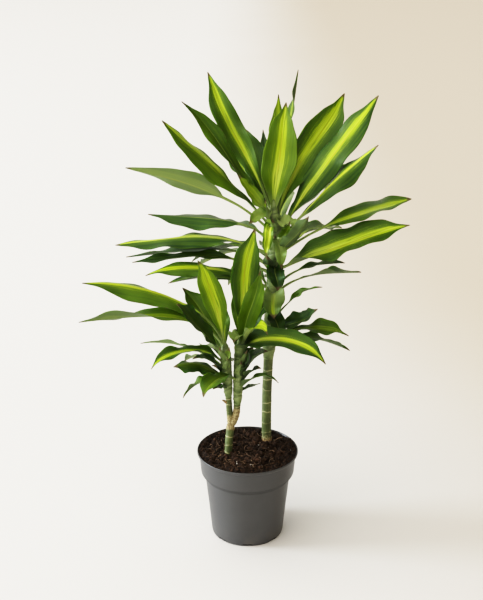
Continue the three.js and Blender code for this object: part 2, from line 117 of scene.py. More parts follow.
class Value:
    """A node's output that Python's operators work on, by adding Math nodes."""

    def __init__(self, sheet: "NodeSheet", socket: bpy.types.NodeSocket) -> None:
        """Wraps one output socket of a node on a sheet."""
        self.sheet = sheet
        self.socket = socket

    def _math(self, operation: str, *operands: "Operand") -> "Value":
        """A Math node on its operands."""
        return self.sheet.add("ShaderNodeMath", {"operation": operation}, dict(enumerate(operands)))

    def __add__(self, other: "Operand") -> "Value":
        """This value and another."""
        return self._math("ADD", self, other)

    def __radd__(self, other: "Operand") -> "Value":
        """A number and this value."""
        return self._math("ADD", other, self)

    def __sub__(self, other: "Operand") -> "Value":
        """This value less another."""
        return self._math("SUBTRACT", self, other)

    def __rsub__(self, other: "Operand") -> "Value":
        """A number less this value."""
        return self._math("SUBTRACT", other, self)

    def __mul__(self, other: "Operand") -> "Value":
        """This value times another."""
        return self._math("MULTIPLY", self, other)

    def __rmul__(self, other: "Operand") -> "Value":
        """A number times this value."""
        return self._math("MULTIPLY", other, self)

    def __truediv__(self, other: "Operand") -> "Value":
        """This value divided by another."""
        return self._math("DIVIDE", self, other)

    def __rtruediv__(self, other: "Operand") -> "Value":
        """A number divided by this value."""
        return self._math("DIVIDE", other, self)

    def __pow__(self, other: "Operand") -> "Value":
        """This value to a power."""
        return self._math("POWER", self, other)

    def __neg__(self) -> "Value":
        """This value with its sign turned."""
        return self._math("MULTIPLY", self, -1.0)

    def __abs__(self) -> "Value":
        """This value without its sign."""
        return self._math("ABSOLUTE", self)

    def sign(self) -> "Value":
        """-1 below zero and 1 above it."""
        return self._math("SIGN", self)

    def sine(self) -> "Value":
        """The sine of an angle in radians."""
        return self._math("SINE", self)

    def fraction(self) -> "Value":
        """What is left of the value past its whole number."""
        return self._math("FRACT", self)

    def most(self, other: "Operand") -> "Value":
        """The greater of this value and another."""
        return self._math("MAXIMUM", self, other)

    def over(self, low: float, high: float) -> "Value":
        """0 below low, 1 above high, and a smooth ramp between them."""
        return self.sheet.add("ShaderNodeMapRange", {"interpolation_type": "SMOOTHSTEP"},
                              {"Value": self, "From Min": low, "From Max": high})


Operand = Union[Value, float]
Paint = Union[Value, Colour]
Triple = Union[Value, Point, None]


class NodeSheet:
    """A node tree that is written one node at a time."""

    def __init__(self, tree: bpy.types.NodeTree) -> None:
        """Starts on a tree, which may hold nodes already."""
        self.tree = tree

    def feed(self, node: bpy.types.Node, values: dict[Union[int, str], Any]) -> None:
        """Links or sets a node's inputs.

        Args:
            node: the node.
            values: a number, vector, colour or Value for each input socket.
        """
        for key, value in values.items():
            if isinstance(value, Value):
                self.tree.links.new(value.socket, node.inputs[key])
            elif value is not None:
                node.inputs[key].default_value = value

    def add(self, kind: str, settings: Optional[dict[str, Any]] = None,
            values: Optional[dict[Union[int, str], Any]] = None,
            output: Union[int, str] = 0) -> Value:
        """Adds a node.

        Args:
            kind: the node's type.
            settings: its properties, which are set first.
            values: a number, vector, colour or Value for each input socket.
            output: the output to return.

        Returns:
            The output, as a Value.
        """
        node = self.tree.nodes.new(kind)
        for name, setting in (settings or {}).items():
            setattr(node, name, setting)
        self.feed(node, values or {})
        return Value(self, node.outputs[output])

    def vector(self, x: Operand, y: Operand, z: Operand) -> Value:
        """A vector of three values."""
        return self.add("ShaderNodeCombineXYZ", values={0: x, 1: y, 2: z})

    def part(self, vector: Value, axis: int) -> Value:
        """One component of a vector."""
        return self.add("ShaderNodeSeparateXYZ", values={0: vector}, output=axis)

    def from_axis(self, place: Value) -> Value:
        """The distance of a place from the Z axis."""
        return (self.part(place, 0) ** 2 + self.part(place, 1) ** 2) ** 0.5

    def vectors(self, operation: str, first: Triple, second: Triple = None,
                output: Union[int, str] = 0) -> Value:
        """A Vector Math node on one or two vectors."""
        return self.add("ShaderNodeVectorMath", {"operation": operation}, {0: first, 1: second},
                        output)

    def scaled(self, vector: Triple, factor: Operand) -> Value:
        """A vector times a number."""
        return self.add("ShaderNodeVectorMath", {"operation": "SCALE"},
                        {"Vector": vector, "Scale": factor})

    def noise(self, vector: Value, scale: float = 1.0, detail: float = 2.0,
              roughness: float = 0.5) -> Value:
        """Smooth noise around 0.5."""
        return self.add("ShaderNodeTexNoise", values={
            "Vector": vector, "Scale": scale, "Detail": detail, "Roughness": roughness})

    def grain(self, place: Value, scales: Point, detail: float, roughness: float = 0.5) -> Value:
        """Noise that is drawn out by its own scale along each axis."""
        return self.noise(self.vectors("MULTIPLY", place, scales), 1.0, detail, roughness)

    def blend(self, first: Paint, second: Paint, factor: Operand) -> Value:
        """Two colours mixed by a factor."""
        return self.add("ShaderNodeMix", {"data_type": "RGBA"},
                        {0: factor, 6: first, 7: second}, output=2)

    def layered(self, ground: Paint, *layers: tuple[Paint, Operand]) -> Value:
        """Colours laid over each other.

        Args:
            ground: the lowest colour.
            layers: for each layer its colour, and how much it covers.

        Returns:
            The colour on top.
        """
        for paint, cover in layers:
            ground = self.blend(ground, paint, cover)
        return ground


class SurfaceSheet(NodeSheet):
    """The nodes of a new material, which one Principled shader ends."""

    def __init__(self, name: str) -> None:
        """Starts a material.

        Args:
            name: the material's name.
        """
        self.material = bpy.data.materials.new(name)
        self.material.use_nodes = True
        super().__init__(self.material.node_tree)
        self.shader = next(n for n in self.tree.nodes if n.type == "BSDF_PRINCIPLED")

    def place(self) -> Value:
        """The place on the object."""
        return self.add("ShaderNodeTexCoord", output="Object")

    def fact(self, name: str) -> Value:
        """The number that the mesh stores under a name."""
        return self.add("ShaderNodeAttribute", {"attribute_name": name}, output="Fac")

    def bump(self, height: Value, strength: float, distance: float) -> Value:
        """The normals of a surface that a height raises by up to a distance in metres."""
        return self.add("ShaderNodeBump", values={
            "Strength": strength, "Distance": distance, "Height": height})

    def painted(self, values: dict[str, Any]) -> bpy.types.Material:
        """Feeds the shader by the names of its sockets, and returns the finished material."""
        self.feed(self.shader, values)
        return self.material


class ShapeTree(NodeSheet):
    """A Geometry Nodes tree with named inputs, whose result ends as real, finished meshes."""

    def __init__(self, name: str) -> None:
        """Starts an empty tree with one geometry input and one geometry output.

        Args:
            name: the tree's name.
        """
        super().__init__(bpy.data.node_groups.new(name, "GeometryNodeTree"))
        for way in ("INPUT", "OUTPUT"):
            self.tree.interface.new_socket("Geometry", in_out=way,
                                           socket_type="NodeSocketGeometry")
        self.group_input = self.tree.nodes.new("NodeGroupInput")
        self.settings: dict[str, Any] = {}

    def start(self) -> Value:
        """The geometry that comes in."""
        return Value(self, self.group_input.outputs["Geometry"])

    def number(self, name: str, value: float) -> Value:
        """A named number input and the value it gets."""
        return self._input(name, "NodeSocketFloat", float(value))

    def count(self, name: str, value: int) -> Value:
        """A named whole-number input and the value it gets."""
        return self._input(name, "NodeSocketInt", int(value))

    def finish_input(self, name: str, material: bpy.types.Material) -> Value:
        """A named material input and the finish it gets."""
        return self._input(name, "NodeSocketMaterial", material)

    def _input(self, name: str, kind: str, value: Any) -> Value:
        """A named input of a socket type.

        Args:
            name: the input's name.
            kind: its socket type.
            value: what the modifier gives it, by the socket's identifier.

        Returns:
            The input, as a Value.
        """
        socket = self.tree.interface.new_socket(name, in_out="INPUT", socket_type=kind)
        self.settings[socket.identifier] = value
        return Value(self, self.group_input.outputs[name])

    def named(self, name: str, kind: Kind = Kind.NUMBER) -> Value:
        """A named attribute of the geometry."""
        return self.add("GeometryNodeInputNamedAttribute", {"data_type": kind.value},
                        {"Name": name})

    def named_vector(self, name: str) -> Value:
        """A named vector of the geometry."""
        return self.named(name, Kind.VECTOR)

    def position(self) -> Value:
        """The place of every point."""
        return self.add("GeometryNodeInputPosition")

    def store(self, geometry: Value, name: str, value: Value, kind: Kind = Kind.NUMBER,
              domain: Domain = Domain.POINT) -> Value:
        """Keeps a value on the geometry under a name."""
        return self.add("GeometryNodeStoreNamedAttribute",
                        {"data_type": kind.value, "domain": domain.value},
                        {"Geometry": geometry, "Name": name, "Value": value})

    def circle(self, sides: Operand, radius: Operand) -> Value:
        """A round section."""
        return self.add("GeometryNodeCurvePrimitiveCircle", {"mode": "RADIUS"},
                        {"Resolution": sides, "Radius": radius})

    def sweep(self, line: Value, section: Value, scale: Optional[Value] = None) -> Value:
        """A closed solid that a section makes along a line, at a scale."""
        return self.add("GeometryNodeCurveToMesh", values={
            "Curve": line, "Profile Curve": section, "Scale": scale, "Fill Caps": True})

    def smooth(self, geometry: Value) -> Value:
        """A geometry with smooth shading."""
        return self.add("GeometryNodeSetShadeSmooth", values={"Geometry": geometry})

    def finished(self, geometry: Value, finish: Value) -> Value:
        """A geometry as real meshes with a finish."""
        real = self.add("GeometryNodeRealizeInstances", values={"Geometry": geometry})
        return self.add("GeometryNodeSetMaterial", values={"Geometry": real, "Material": finish})

    def end(self, *pieces: Value) -> None:
        """Joins the pieces to the tree's output.

        Args:
            pieces: one geometry, or several that become one.
        """
        out = self.tree.nodes.new("NodeGroupOutput")
        result = pieces[0].socket
        if len(pieces) > 1:
            joined = self.tree.nodes.new("GeometryNodeJoinGeometry")
            for piece in reversed(pieces):
                self.tree.links.new(piece.socket, joined.inputs[0])
            result = joined.outputs[0]
        self.tree.links.new(result, out.inputs[0])

    def bake(self, source: bpy.types.Mesh, name: str) -> bpy.types.Object:
        """Runs the tree on a mesh.

        Args:
            source: the mesh that goes in.
            name: the name of the piece.

        Returns:
            A new object with a plain mesh and no modifier.
        """
        guide = in_scene(name + "_guide", source)
        modifier = guide.modifiers.new("shape", "NODES")
        modifier.node_group = self.tree
        for identifier, value in self.settings.items():
            modifier[identifier] = value
        mesh = evaluated_mesh(guide)
        bpy.data.objects.remove(guide)
        mesh.name = name
        return in_scene(name, mesh)


# ---------------------------------------------------------------- meshes


def in_scene(name: str, data: bpy.types.ID) -> bpy.types.Object:
    """A new object of the scene, at the origin and unturned.

    Args:
        name: the object's name.
        data: its mesh, light or camera.

    Returns:
        The object.
    """
    made = bpy.data.objects.new(name, data)
    bpy.context.scene.collection.objects.link(made)
    return made


def evaluated_mesh(source: bpy.types.Object) -> bpy.types.Mesh:
    """The plain mesh that an object's modifiers make."""
    graph = bpy.context.evaluated_depsgraph_get()
    return bpy.data.meshes.new_from_object(source.evaluated_get(graph), depsgraph=graph)


def kept_mesh(name: str, work: bmesh.types.BMesh) -> bpy.types.Mesh:
    """Ends the work on a mesh.

    Args:
        name: the mesh's name.
        work: the worked mesh, which is freed.

    Returns:
        The mesh.
    """
    mesh = bpy.data.meshes.new(name)
    work.to_mesh(mesh)
    work.free()
    return mesh


def face_outwards(mesh: bpy.types.Mesh) -> None:
    """Turns every closed shell of a mesh so that its faces point outwards.

    Args:
        mesh: the mesh, which is changed.
    """
    work = bmesh.new()
    work.from_mesh(mesh)
    bmesh.ops.recalc_face_normals(work, faces=work.faces)
    work.to_mesh(mesh)
    work.free()


def drop_helpers(mesh: bpy.types.Mesh, names: Sequence[str]) -> None:
    """Removes attributes that only the building needed.

    Args:
        mesh: the mesh, which is changed.
        names: the attributes' names.
    """
    for name in names:
        found = mesh.attributes.get(name)
        if found is not None:
            mesh.attributes.remove(found)


def guide_mesh(name: str, lines: Sequence[Sequence[Vector]], facts: dict[str, list[Any]],
               vectors: Sequence[str]) -> bpy.types.Mesh:
    """A mesh of polylines that carries attributes on its points.

    Args:
        name: the mesh's name.
        lines: the points of each polyline.
        facts: for each attribute one value for each point.
        vectors: the attributes that hold vectors. The others hold numbers.

    Returns:
        The mesh.
    """
    points = [point for line in lines for point in line]
    edges, first = [], 0
    for line in lines:
        edges += [(first + i, first + i + 1) for i in range(len(line) - 1)]
        first += len(line)
    mesh = bpy.data.meshes.new(name)
    mesh.from_pydata(points, edges, [])
    for fact, values in facts.items():
        if fact in vectors:
            attribute = mesh.attributes.new(fact, Kind.VECTOR.value, "POINT")
            attribute.data.foreach_set("vector", [part for value in values for part in value])
        else:
            attribute = mesh.attributes.new(fact, Kind.NUMBER.value, "POINT")
            attribute.data.foreach_set("value", values)
    return mesh


def level_ring(work: bmesh.types.BMesh, radius: float, height: float,
               sides: int) -> list[bmesh.types.BMVert]:
    """A level ring of points about the Z axis.

    Args:
        work: the mesh in work.
        radius: the ring's radius. At 0 the ring is a single point.
        height: its height.
        sides: its number of points.

    Returns:
        The points, anticlockwise.
    """
    if radius == 0:
        return [work.verts.new((0, 0, height))]
    turns = (FULL_TURN * k / sides for k in range(sides))
    return [work.verts.new((radius * math.cos(a), radius * math.sin(a), height)) for a in turns]


def loft(work: bmesh.types.BMesh, rows: Sequence[Sequence[bmesh.types.BMVert]]) -> None:
    """Joins each ring of points to the next by faces.

    Args:
        work: the mesh in work.
        rows: the rings in order. A ring of one point is a pole.
    """
    sides = max(len(row) for row in rows)
    for low, high in zip(rows, rows[1:]):
        for k in range(sides):
            n = (k + 1) % sides
            corners = [low[k % len(low)], low[n % len(low)], high[n % len(high)],
                       high[k % len(high)]]
            work.faces.new(list(dict.fromkeys(corners)))


def finished_mesh(name: str, work: bmesh.types.BMesh,
                  finish: bpy.types.Material) -> bpy.types.Object:
    """Turns a worked mesh into a smooth, outward-facing piece with a finish.

    Args:
        name: the piece's name.
        work: the worked mesh, which is freed.
        finish: its material.

    Returns:
        The finished object.
    """
    bmesh.ops.recalc_face_normals(work, faces=work.faces)
    for face in work.faces:
        face.smooth = True
    mesh = kept_mesh(name, work)
    mesh.materials.append(finish)
    return in_scene(name, mesh)


def give_to_frame(piece: bpy.types.Object, slot: Slot, *nodes: str) -> None:
    """Rides a finished piece on the frame, hides the frame's nodes that it replaces, and logs its
    faces.

    Args:
        piece: the finished object.
        slot: its material slot; not used.
        nodes: the frame's nodes that it replaces.
    """
    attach(piece, BODY)
    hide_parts(*nodes)
    log.info("%s: %d faces", piece.name, len(piece.data.polygons))


# ---------------------------------------------------------------- finishes


@dataclass(frozen=True)
class LeafFinish:
    """Waxy striped leaf. It reads the numbers that every blade stores on its mesh.

    Each grain is a pair of noise scales, across and along the blade, for each metre. tip_burn is
    the distance from the tip at which the brown starts to fade and where it ends, in metres.
    """

    dark: Colour = rgb(0.012, 0.038, 0.004)
    green: Colour = rgb(0.125, 0.210, 0.006)
    lime: Colour = rgb(0.430, 0.590, 0.012)
    cream: Colour = rgb(0.610, 0.690, 0.170)
    amber: Colour = rgb(0.420, 0.300, 0.015)
    underside: Colour = rgb(0.235, 0.300, 0.165)
    dark_underside: Colour = rgb(0.060, 0.085, 0.035)
    stalk: Colour = rgb(0.250, 0.320, 0.105)
    clasp: Colour = rgb(0.290, 0.370, 0.145)
    dry: Colour = rgb(0.115, 0.080, 0.045)
    sheen: Colour = rgb(0.60, 0.80, 0.50)
    glow: Point = (0.6, 1.0, 0.2)
    roughness: float = 0.31
    streak_grain: tuple[float, float] = (330, 5)
    thread_grain: tuple[float, float] = (900, 8)
    mottle_grain: tuple[float, float] = (30, 12)
    torn_grain: float = 150
    vein_pitch: float = 4600
    vein_depth: float = 0.00035
    tip_burn: tuple[float, float] = (0.0045, 0.0095)
    clasp_start: float = 0.04

    def material(self) -> bpy.types.Material:
        """Mixes the finish.

        Returns:
            The finished material.
        """
        sheet = SurfaceSheet("striped leaf")
        across, along, seed = sheet.fact("across"), sheet.fact("along"), sheet.fact("seed")
        shade, outline = sheet.fact("shade"), sheet.fact("outline")
        width = across * sheet.fact("half_width")
        length = along * sheet.fact("leaf_length")
        wander = sheet.noise(sheet.vector(across * 0.7, length * 13, seed * 40))
        streak, thread, mottle = (
            sheet.noise(sheet.vector(width * wide, length * tall, seed * shift), detail=detail)
            for (wide, tall), shift, detail in (
                (self.streak_grain, 70, 2), (self.thread_grain, 90, 2), (self.mottle_grain, 20, 3)))

        # The stripe, its frayed flank, the green lines in it and the pale lines beside it.
        off_middle = abs(across - sheet.fact("lean")) + (wander - 0.5) * 0.16
        band = sheet.fact("band") + along.over(0.65, 1.0) * 0.12
        from_edge = off_middle - band + (streak - 0.5) * 0.30
        runs = (along - sheet.fact("band_from")).over(0.0, 0.14) * sheet.fact("tone")
        stripe = (1 - from_edge.over(-0.06, 0.06)) * runs
        flank = (1 - from_edge.over(0.0, 0.42)) * runs
        green_lines = (1 - abs(streak - 0.52).over(0.006, 0.030)) * stripe
        pale_lines = (1 - abs(thread - 0.5).over(0.008, 0.030)) * flank

        # The underside, the rib, the stalk, the clasping base, and the dry margins and tip.
        below = 1 - sheet.fact("upper").over(-0.25, 0.05)
        under = sheet.blend(self.dark_underside, self.underside, shade + (mottle - 0.5) * 0.5)
        rib = (1 - abs(across).over(0.015, 0.07)) * (1 - along.over(0.60, 0.97))
        bare = (1 - outline.over(0.02, 0.34)) * (1 - along.over(0.5, 0.6))
        clasp = (along - self.clasp_start) / (sheet.fact("pale") - self.clasp_start)
        torn = sheet.noise(sheet.vector(length * self.torn_grain, seed * 30, across * 2), detail=3)
        dry_edge = abs(across).over(0.88, 0.98) * (torn.over(0.54, 0.68) * 0.6 + bare * 0.55)
        to_tip = (1 - along) * sheet.fact("leaf_length") + (torn - 0.5) * 0.005
        dry = dry_edge.most(1 - to_tip.over(*self.tip_burn))

        low = (1 - along.over(0.25, 0.62)) * stripe
        blade = sheet.layered(
            self.dark,
            # shade lifts the blade from dark to green: partly the leaf's own colour, partly painted
            # shade where the leaf lies in shade.
            (self.green, shade + (streak - 0.5) * 0.7 + flank * 0.30),
            (self.green, mottle.over(0.45, 0.75) * (shade * 0.5 + 0.1)),
            (self.lime, pale_lines * 0.60),
            (self.lime, stripe * (thread.over(0.30, 0.62) * 0.40 + 0.56)),
            (self.cream, thread.over(0.50, 0.66) * stripe * 0.34 + low * 0.40),
            (self.green, green_lines * 0.80),
            (under, below * 0.70),
            (self.amber, rib * stripe * mottle.over(0.35, 0.65) * 0.55),
            (self.cream, rib * (1 - stripe) * 0.22),
            (self.stalk, bare * 0.75),
            (self.clasp, (1 - clasp.over(0.0, 1.0)) * 0.85),
            (self.dry, dry * 0.92),
        )
        veins = (width * self.vein_pitch + (wander - 0.5) * 3).sine() * 0.5 + thread
        groove = (1 - abs(across).over(0.0, 0.06)) * -1.8
        return sheet.painted({
            "Base Color": blade,
            "Roughness": self.roughness + mottle * 0.14 + dry * 0.35 + below * 0.2,
            "Normal": sheet.bump(veins + groove + mottle * 2.5, 0.34, self.vein_depth),
            "Specular IOR Level": 0.40,
            "Specular Tint": self.sheen,
            "Subsurface Weight": 0.10,
            "Subsurface Radius": self.glow,
            "Subsurface Scale": 0.002,
        })


@dataclass(frozen=True)
class CaneFinish:
    """Green cane skin with pale ring scars. It reads scar, cup and earth."""

    name: str = "green cane"
    skin: Colour = rgb(0.062, 0.084, 0.020)
    light: Colour = rgb(0.150, 0.185, 0.062)
    scar: Colour = rgb(0.520, 0.500, 0.280)
    bark: Colour = rgb(0.130, 0.085, 0.040)
    husk: Colour = rgb(0.400, 0.340, 0.170)
    roughness: float = 0.5
    skin_grain: Point = (900.0, 900.0, 60.0)
    cloud_grain: Point = (90.0, 90.0, 70.0)
    husk_grain: Point = (330.0, 330.0, 260.0)

    def material(self) -> bpy.types.Material:
        """Mixes the finish.

        Returns:
            The finished material.
        """
        sheet = SurfaceSheet(self.name)
        place, earth = sheet.place(), sheet.fact("earth")
        grain = sheet.grain(place, self.skin_grain, 3)
        cloud = sheet.grain(place, self.cloud_grain, 4, 0.6)
        scale = sheet.grain(place, self.husk_grain, 3, 0.6)
        flake = (scale * 0.7 + grain * 0.3 + earth * 0.35).over(0.58, 0.70)
        colour = sheet.layered(
            self.skin,
            (self.light, cloud.over(0.35, 0.72) * 0.8),
            (self.light, grain.over(0.5, 0.8) * 0.35),
            # Lighter towards the top of each sheath and darker just above its ring: partly the
            # paler leaf base, partly painted shade.
            (self.light, sheet.fact("cup").over(0.1, 0.9) * 0.6),
            (self.scar, sheet.fact("scar") * cloud.over(0.30, 0.55) * 0.9),
            (self.husk, flake * earth),
            (self.bark, (1 - abs(scale - 0.5).over(0.02, 0.06)) * earth),
        )
        return sheet.painted({
            "Base Color": colour,
            "Roughness": self.roughness + cloud * 0.2 + earth * 0.2,
            "Normal": sheet.bump(grain + cloud + flake * earth, 0.35, 0.0004),
        })


@dataclass(frozen=True)
class PaperyFinish:
    """Dry papery sheath and dead stub."""

    light: Colour = rgb(0.420, 0.300, 0.150)
    dark: Colour = rgb(0.130, 0.080, 0.040)
    roughness: float = 0.7
    fibre_grain: Point = (1100.0, 1100.0, 90.0)

    def material(self) -> bpy.types.Material:
        """Mixes the finish.

        Returns:
            The finished material.
        """
        sheet = SurfaceSheet("dry sheath")
        fibre = sheet.grain(sheet.place(), self.fibre_grain, 3)
        return sheet.painted({
            "Base Color": sheet.blend(self.dark, self.light, fibre.over(0.3, 0.65)),
            "Roughness": self.roughness + fibre * 0.2,
            "Normal": sheet.bump(fibre, 0.5, 0.0005),
        })


@dataclass(frozen=True)
class PotFinish:
    """Satin moulded plastic, a little dusty and scuffed.

    ledge is the height of the step under the band, which painted shade darkens, dust_top the height
    up to which dust lies, and notch_back and notch_roof the radius and height at which a foot notch
    ends, up to which painted shade darkens its recess.
    """

    plastic: Colour = rgb(0.056, 0.057, 0.059)
    worn: Colour = rgb(0.068, 0.069, 0.071)
    dust: Colour = rgb(0.130, 0.115, 0.095)
    painted_ledge_shade: Colour = rgb(0.030, 0.029, 0.028)
    painted_notch_shade: Colour = rgb(0.004, 0.004, 0.004)
    roughness: float = 0.33
    scuff_grain: Point = (26.0, 26.0, 900.0)
    ledge: float = 0.1105
    dust_top: float = 0.035
    notch_back: tuple[float, float] = (0.0588, 0.0596)
    notch_roof: tuple[float, float] = (0.0055, 0.0065)

    def material(self) -> bpy.types.Material:
        """Mixes the finish.

        Returns:
            The finished material.
        """
        sheet = SurfaceSheet("nursery pot plastic")
        place = sheet.place()
        height = sheet.part(place, 2)
        cloud = sheet.noise(place, 28.0, 5, 0.6)
        grain = sheet.noise(place, 2600.0, 2)
        specks = sheet.noise(place, 420.0, 3, 0.6)
        scuff = sheet.grain(place, self.scuff_grain, 4, 0.6).over(0.60, 0.74)
        low = 1 - height.over(0.0, self.dust_top)
        dusty = specks.over(0.70, 0.80) * 0.20 + low * cloud.over(0.4, 0.7) * 0.35
        # Painted shade: a darker band along the step under the band.
        ledge = 1 - abs(height - self.ledge).over(0.002, 0.0070)
        # Painted shade: the recess inside each foot notch is darkened to near black.
        inside = 1 - sheet.from_axis(place).over(*self.notch_back)
        notch_shade_mask = inside * height.over(0.0006, 0.0010) * (1 - height.over(*self.notch_roof))
        colour = sheet.layered(
            self.plastic,
            (self.worn, cloud.over(0.35, 0.75) * 0.5),
            (self.worn, scuff * 0.45),
            (self.dust, dusty),
            (self.painted_ledge_shade, ledge * 0.18),
            (self.painted_notch_shade, notch_shade_mask),
        )
        return sheet.painted({
            "Base Color": colour,
            "Roughness": self.roughness + cloud * 0.14 + scuff * 0.12 + dusty * 0.3 + ledge * 0.4,
            "Normal": sheet.bump(grain + scuff * 0.6, 0.12, 0.0003),
        })


@dataclass(frozen=True)
class PeatFinish:
    """Damp peat: crumbs, fibres or perlite, by the colours. It reads tint where it varies."""

    name: str
    dark: Colour
    light: Colour
    grain: float = 900.0
    roughness: float = 0.85

    def material(self) -> bpy.types.Material:
        """Mixes the finish.

        Returns:
            The finished material.
        """
        sheet = SurfaceSheet(self.name)
        place = sheet.place()
        grit = sheet.noise(place, self.grain, 4, 0.65)
        clump = sheet.noise(place, self.grain / 7, 3)
        share = sheet.fact("tint") * 0.55 + grit.over(0.35, 0.75) * 0.35
        share = share + clump.over(0.4, 0.7) * 0.2
        return sheet.painted({
            "Base Color": sheet.blend(self.dark, self.light, share),
            "Roughness": self.roughness + grit * 0.12,
            "Normal": sheet.bump(grit + clump, 0.8, 0.0012),
            "Specular IOR Level": 0.25,
        })


@dataclass(frozen=True)
class FloorFinish:
    """Pale matte floor with hardly any grain, darker and warmer towards the right and the back as
    painted light falloff.
    """

    cool: Colour = rgb(0.830, 0.815, 0.795)
    painted_dim_light: Colour = rgb(0.600, 0.525, 0.430)
    roughness: float = 0.8

    def material(self) -> bpy.types.Material:
        """Mixes the finish.

        Returns:
            The finished material.
        """
        sheet = SurfaceSheet("pale floor")
        place = sheet.place()
        cloud = sheet.noise(place, 1.5, 3)
        # Painted light falloff: the floor darkens and warms towards the right and the back.
        far = sheet.part(place, 0) + sheet.part(place, 1).over(0.0, 1.4) * 0.35
        share = (far + (cloud - 0.5) * 0.1).over(-0.05, 1.0)
        return sheet.painted({
            "Base Color": sheet.blend(self.cool, self.painted_dim_light, share),
            "Roughness": self.roughness,
            "Specular IOR Level": 0.2,
        })


# ---------------------------------------------------------------- centre lines


@dataclass(frozen=True)
class Stem:
    """A stem's centre line, listed upwards, in millimetres."""

    line: tuple[Point, ...]

    def at(self, height: float) -> Vector:
        """The point of the line at a height.

        Args:
            height: the height in millimetres.

        Returns:
            The point in millimetres. Past the line's end it goes straight on.
        """
        runs = list(zip(self.line, self.line[1:]))
        low, high = next((run for run in runs if height < run[1][2]), runs[-1])
        share = (height - low[2]) / (high[2] - low[2])
        return Vector((mix(low[0], high[0], share), mix(low[1], high[1], share), height))

    def smooth_at(self, height: float, reach: float = 7.0) -> Vector:
        """The point of the line at a height, with its corners rounded.

        Args:
            height: the height in millimetres.
            reach: how far up and down the rounding looks.

        Returns:
            The point in millimetres.
        """
        steps = [self.at(min(max(height + reach * k / 2, self.line[0][2]), self.line[-1][2]))
                 for k in (-2, -1, 0, 1, 2)]
        middle = sum(steps, Vector()) / len(steps)
        return Vector((middle.x, middle.y, height))


REAR_STEM = Stem((
    (31, 28, 60), (33, 34, 150), (32, 37, 175), (32.5, 42, 240), (35, 47, 310), (39, 51, 390),
    (43, 52, 460), (44, 52, 500), (41, 54, 560), (41, 54, 575),
))
FRONT_TRUNK = Stem(((-33, -17, 60), (-32.5, -14, 150), (-31, -8, 176), (-28, -1, 200)))
LEFT_STEM = Stem(((-28, -1, 196), (-30.5, -2, 226), (-32, -3, 259), (-35, -4, 300),
                  (-38, -5, 360)))
RIGHT_STEM = Stem(((-28, -1, 196), (-19, -1, 218), (-17, -1, 240), (-16, 0, 270),
                   (-14, 0, 308), (-12, 0, 360)))


@dataclass(frozen=True)
class Leaf:
    """One leaf: where it grows from, how it arches, and how its blade lies.

    Root height and tip reach are in millimetres, angles in degrees. leave and arrive are the rises
    of the rib at its two ends, swing bends it sideways, roll and twist turn the blade about its rib
    at mid-length and at the tip, turn faces it another way than its reach, fold is the angle of its
    halves, stalk the bare share of it and base the power at which it widens from there. hook moves
    the tip aside. tone is the strength of the stripe, band its half-width and lean its offset as
    shares of the half-blade, band_from where along the leaf it starts, shade how light the green
    is, set leaf by leaf partly as the leaf's own colour and partly as painted shade where the leaf
    lies in shade, and pale how far along the leaf its pale clasping base reaches.
    """

    at: float
    tip: Point
    leave: float
    arrive: float
    width: float
    swing: float = 0
    roll: float = 0
    twist: float = 0
    turn: float = 0
    fold: float = 20
    stalk: float = 0.16
    base: float = 1.15
    wave: float = 3.5
    hook: float = 0
    tone: float = 1.0
    band: float = 0.34
    lean: float = 0
    band_from: float = 0.05
    shade: float = 0.4
    pale: float = 0.26


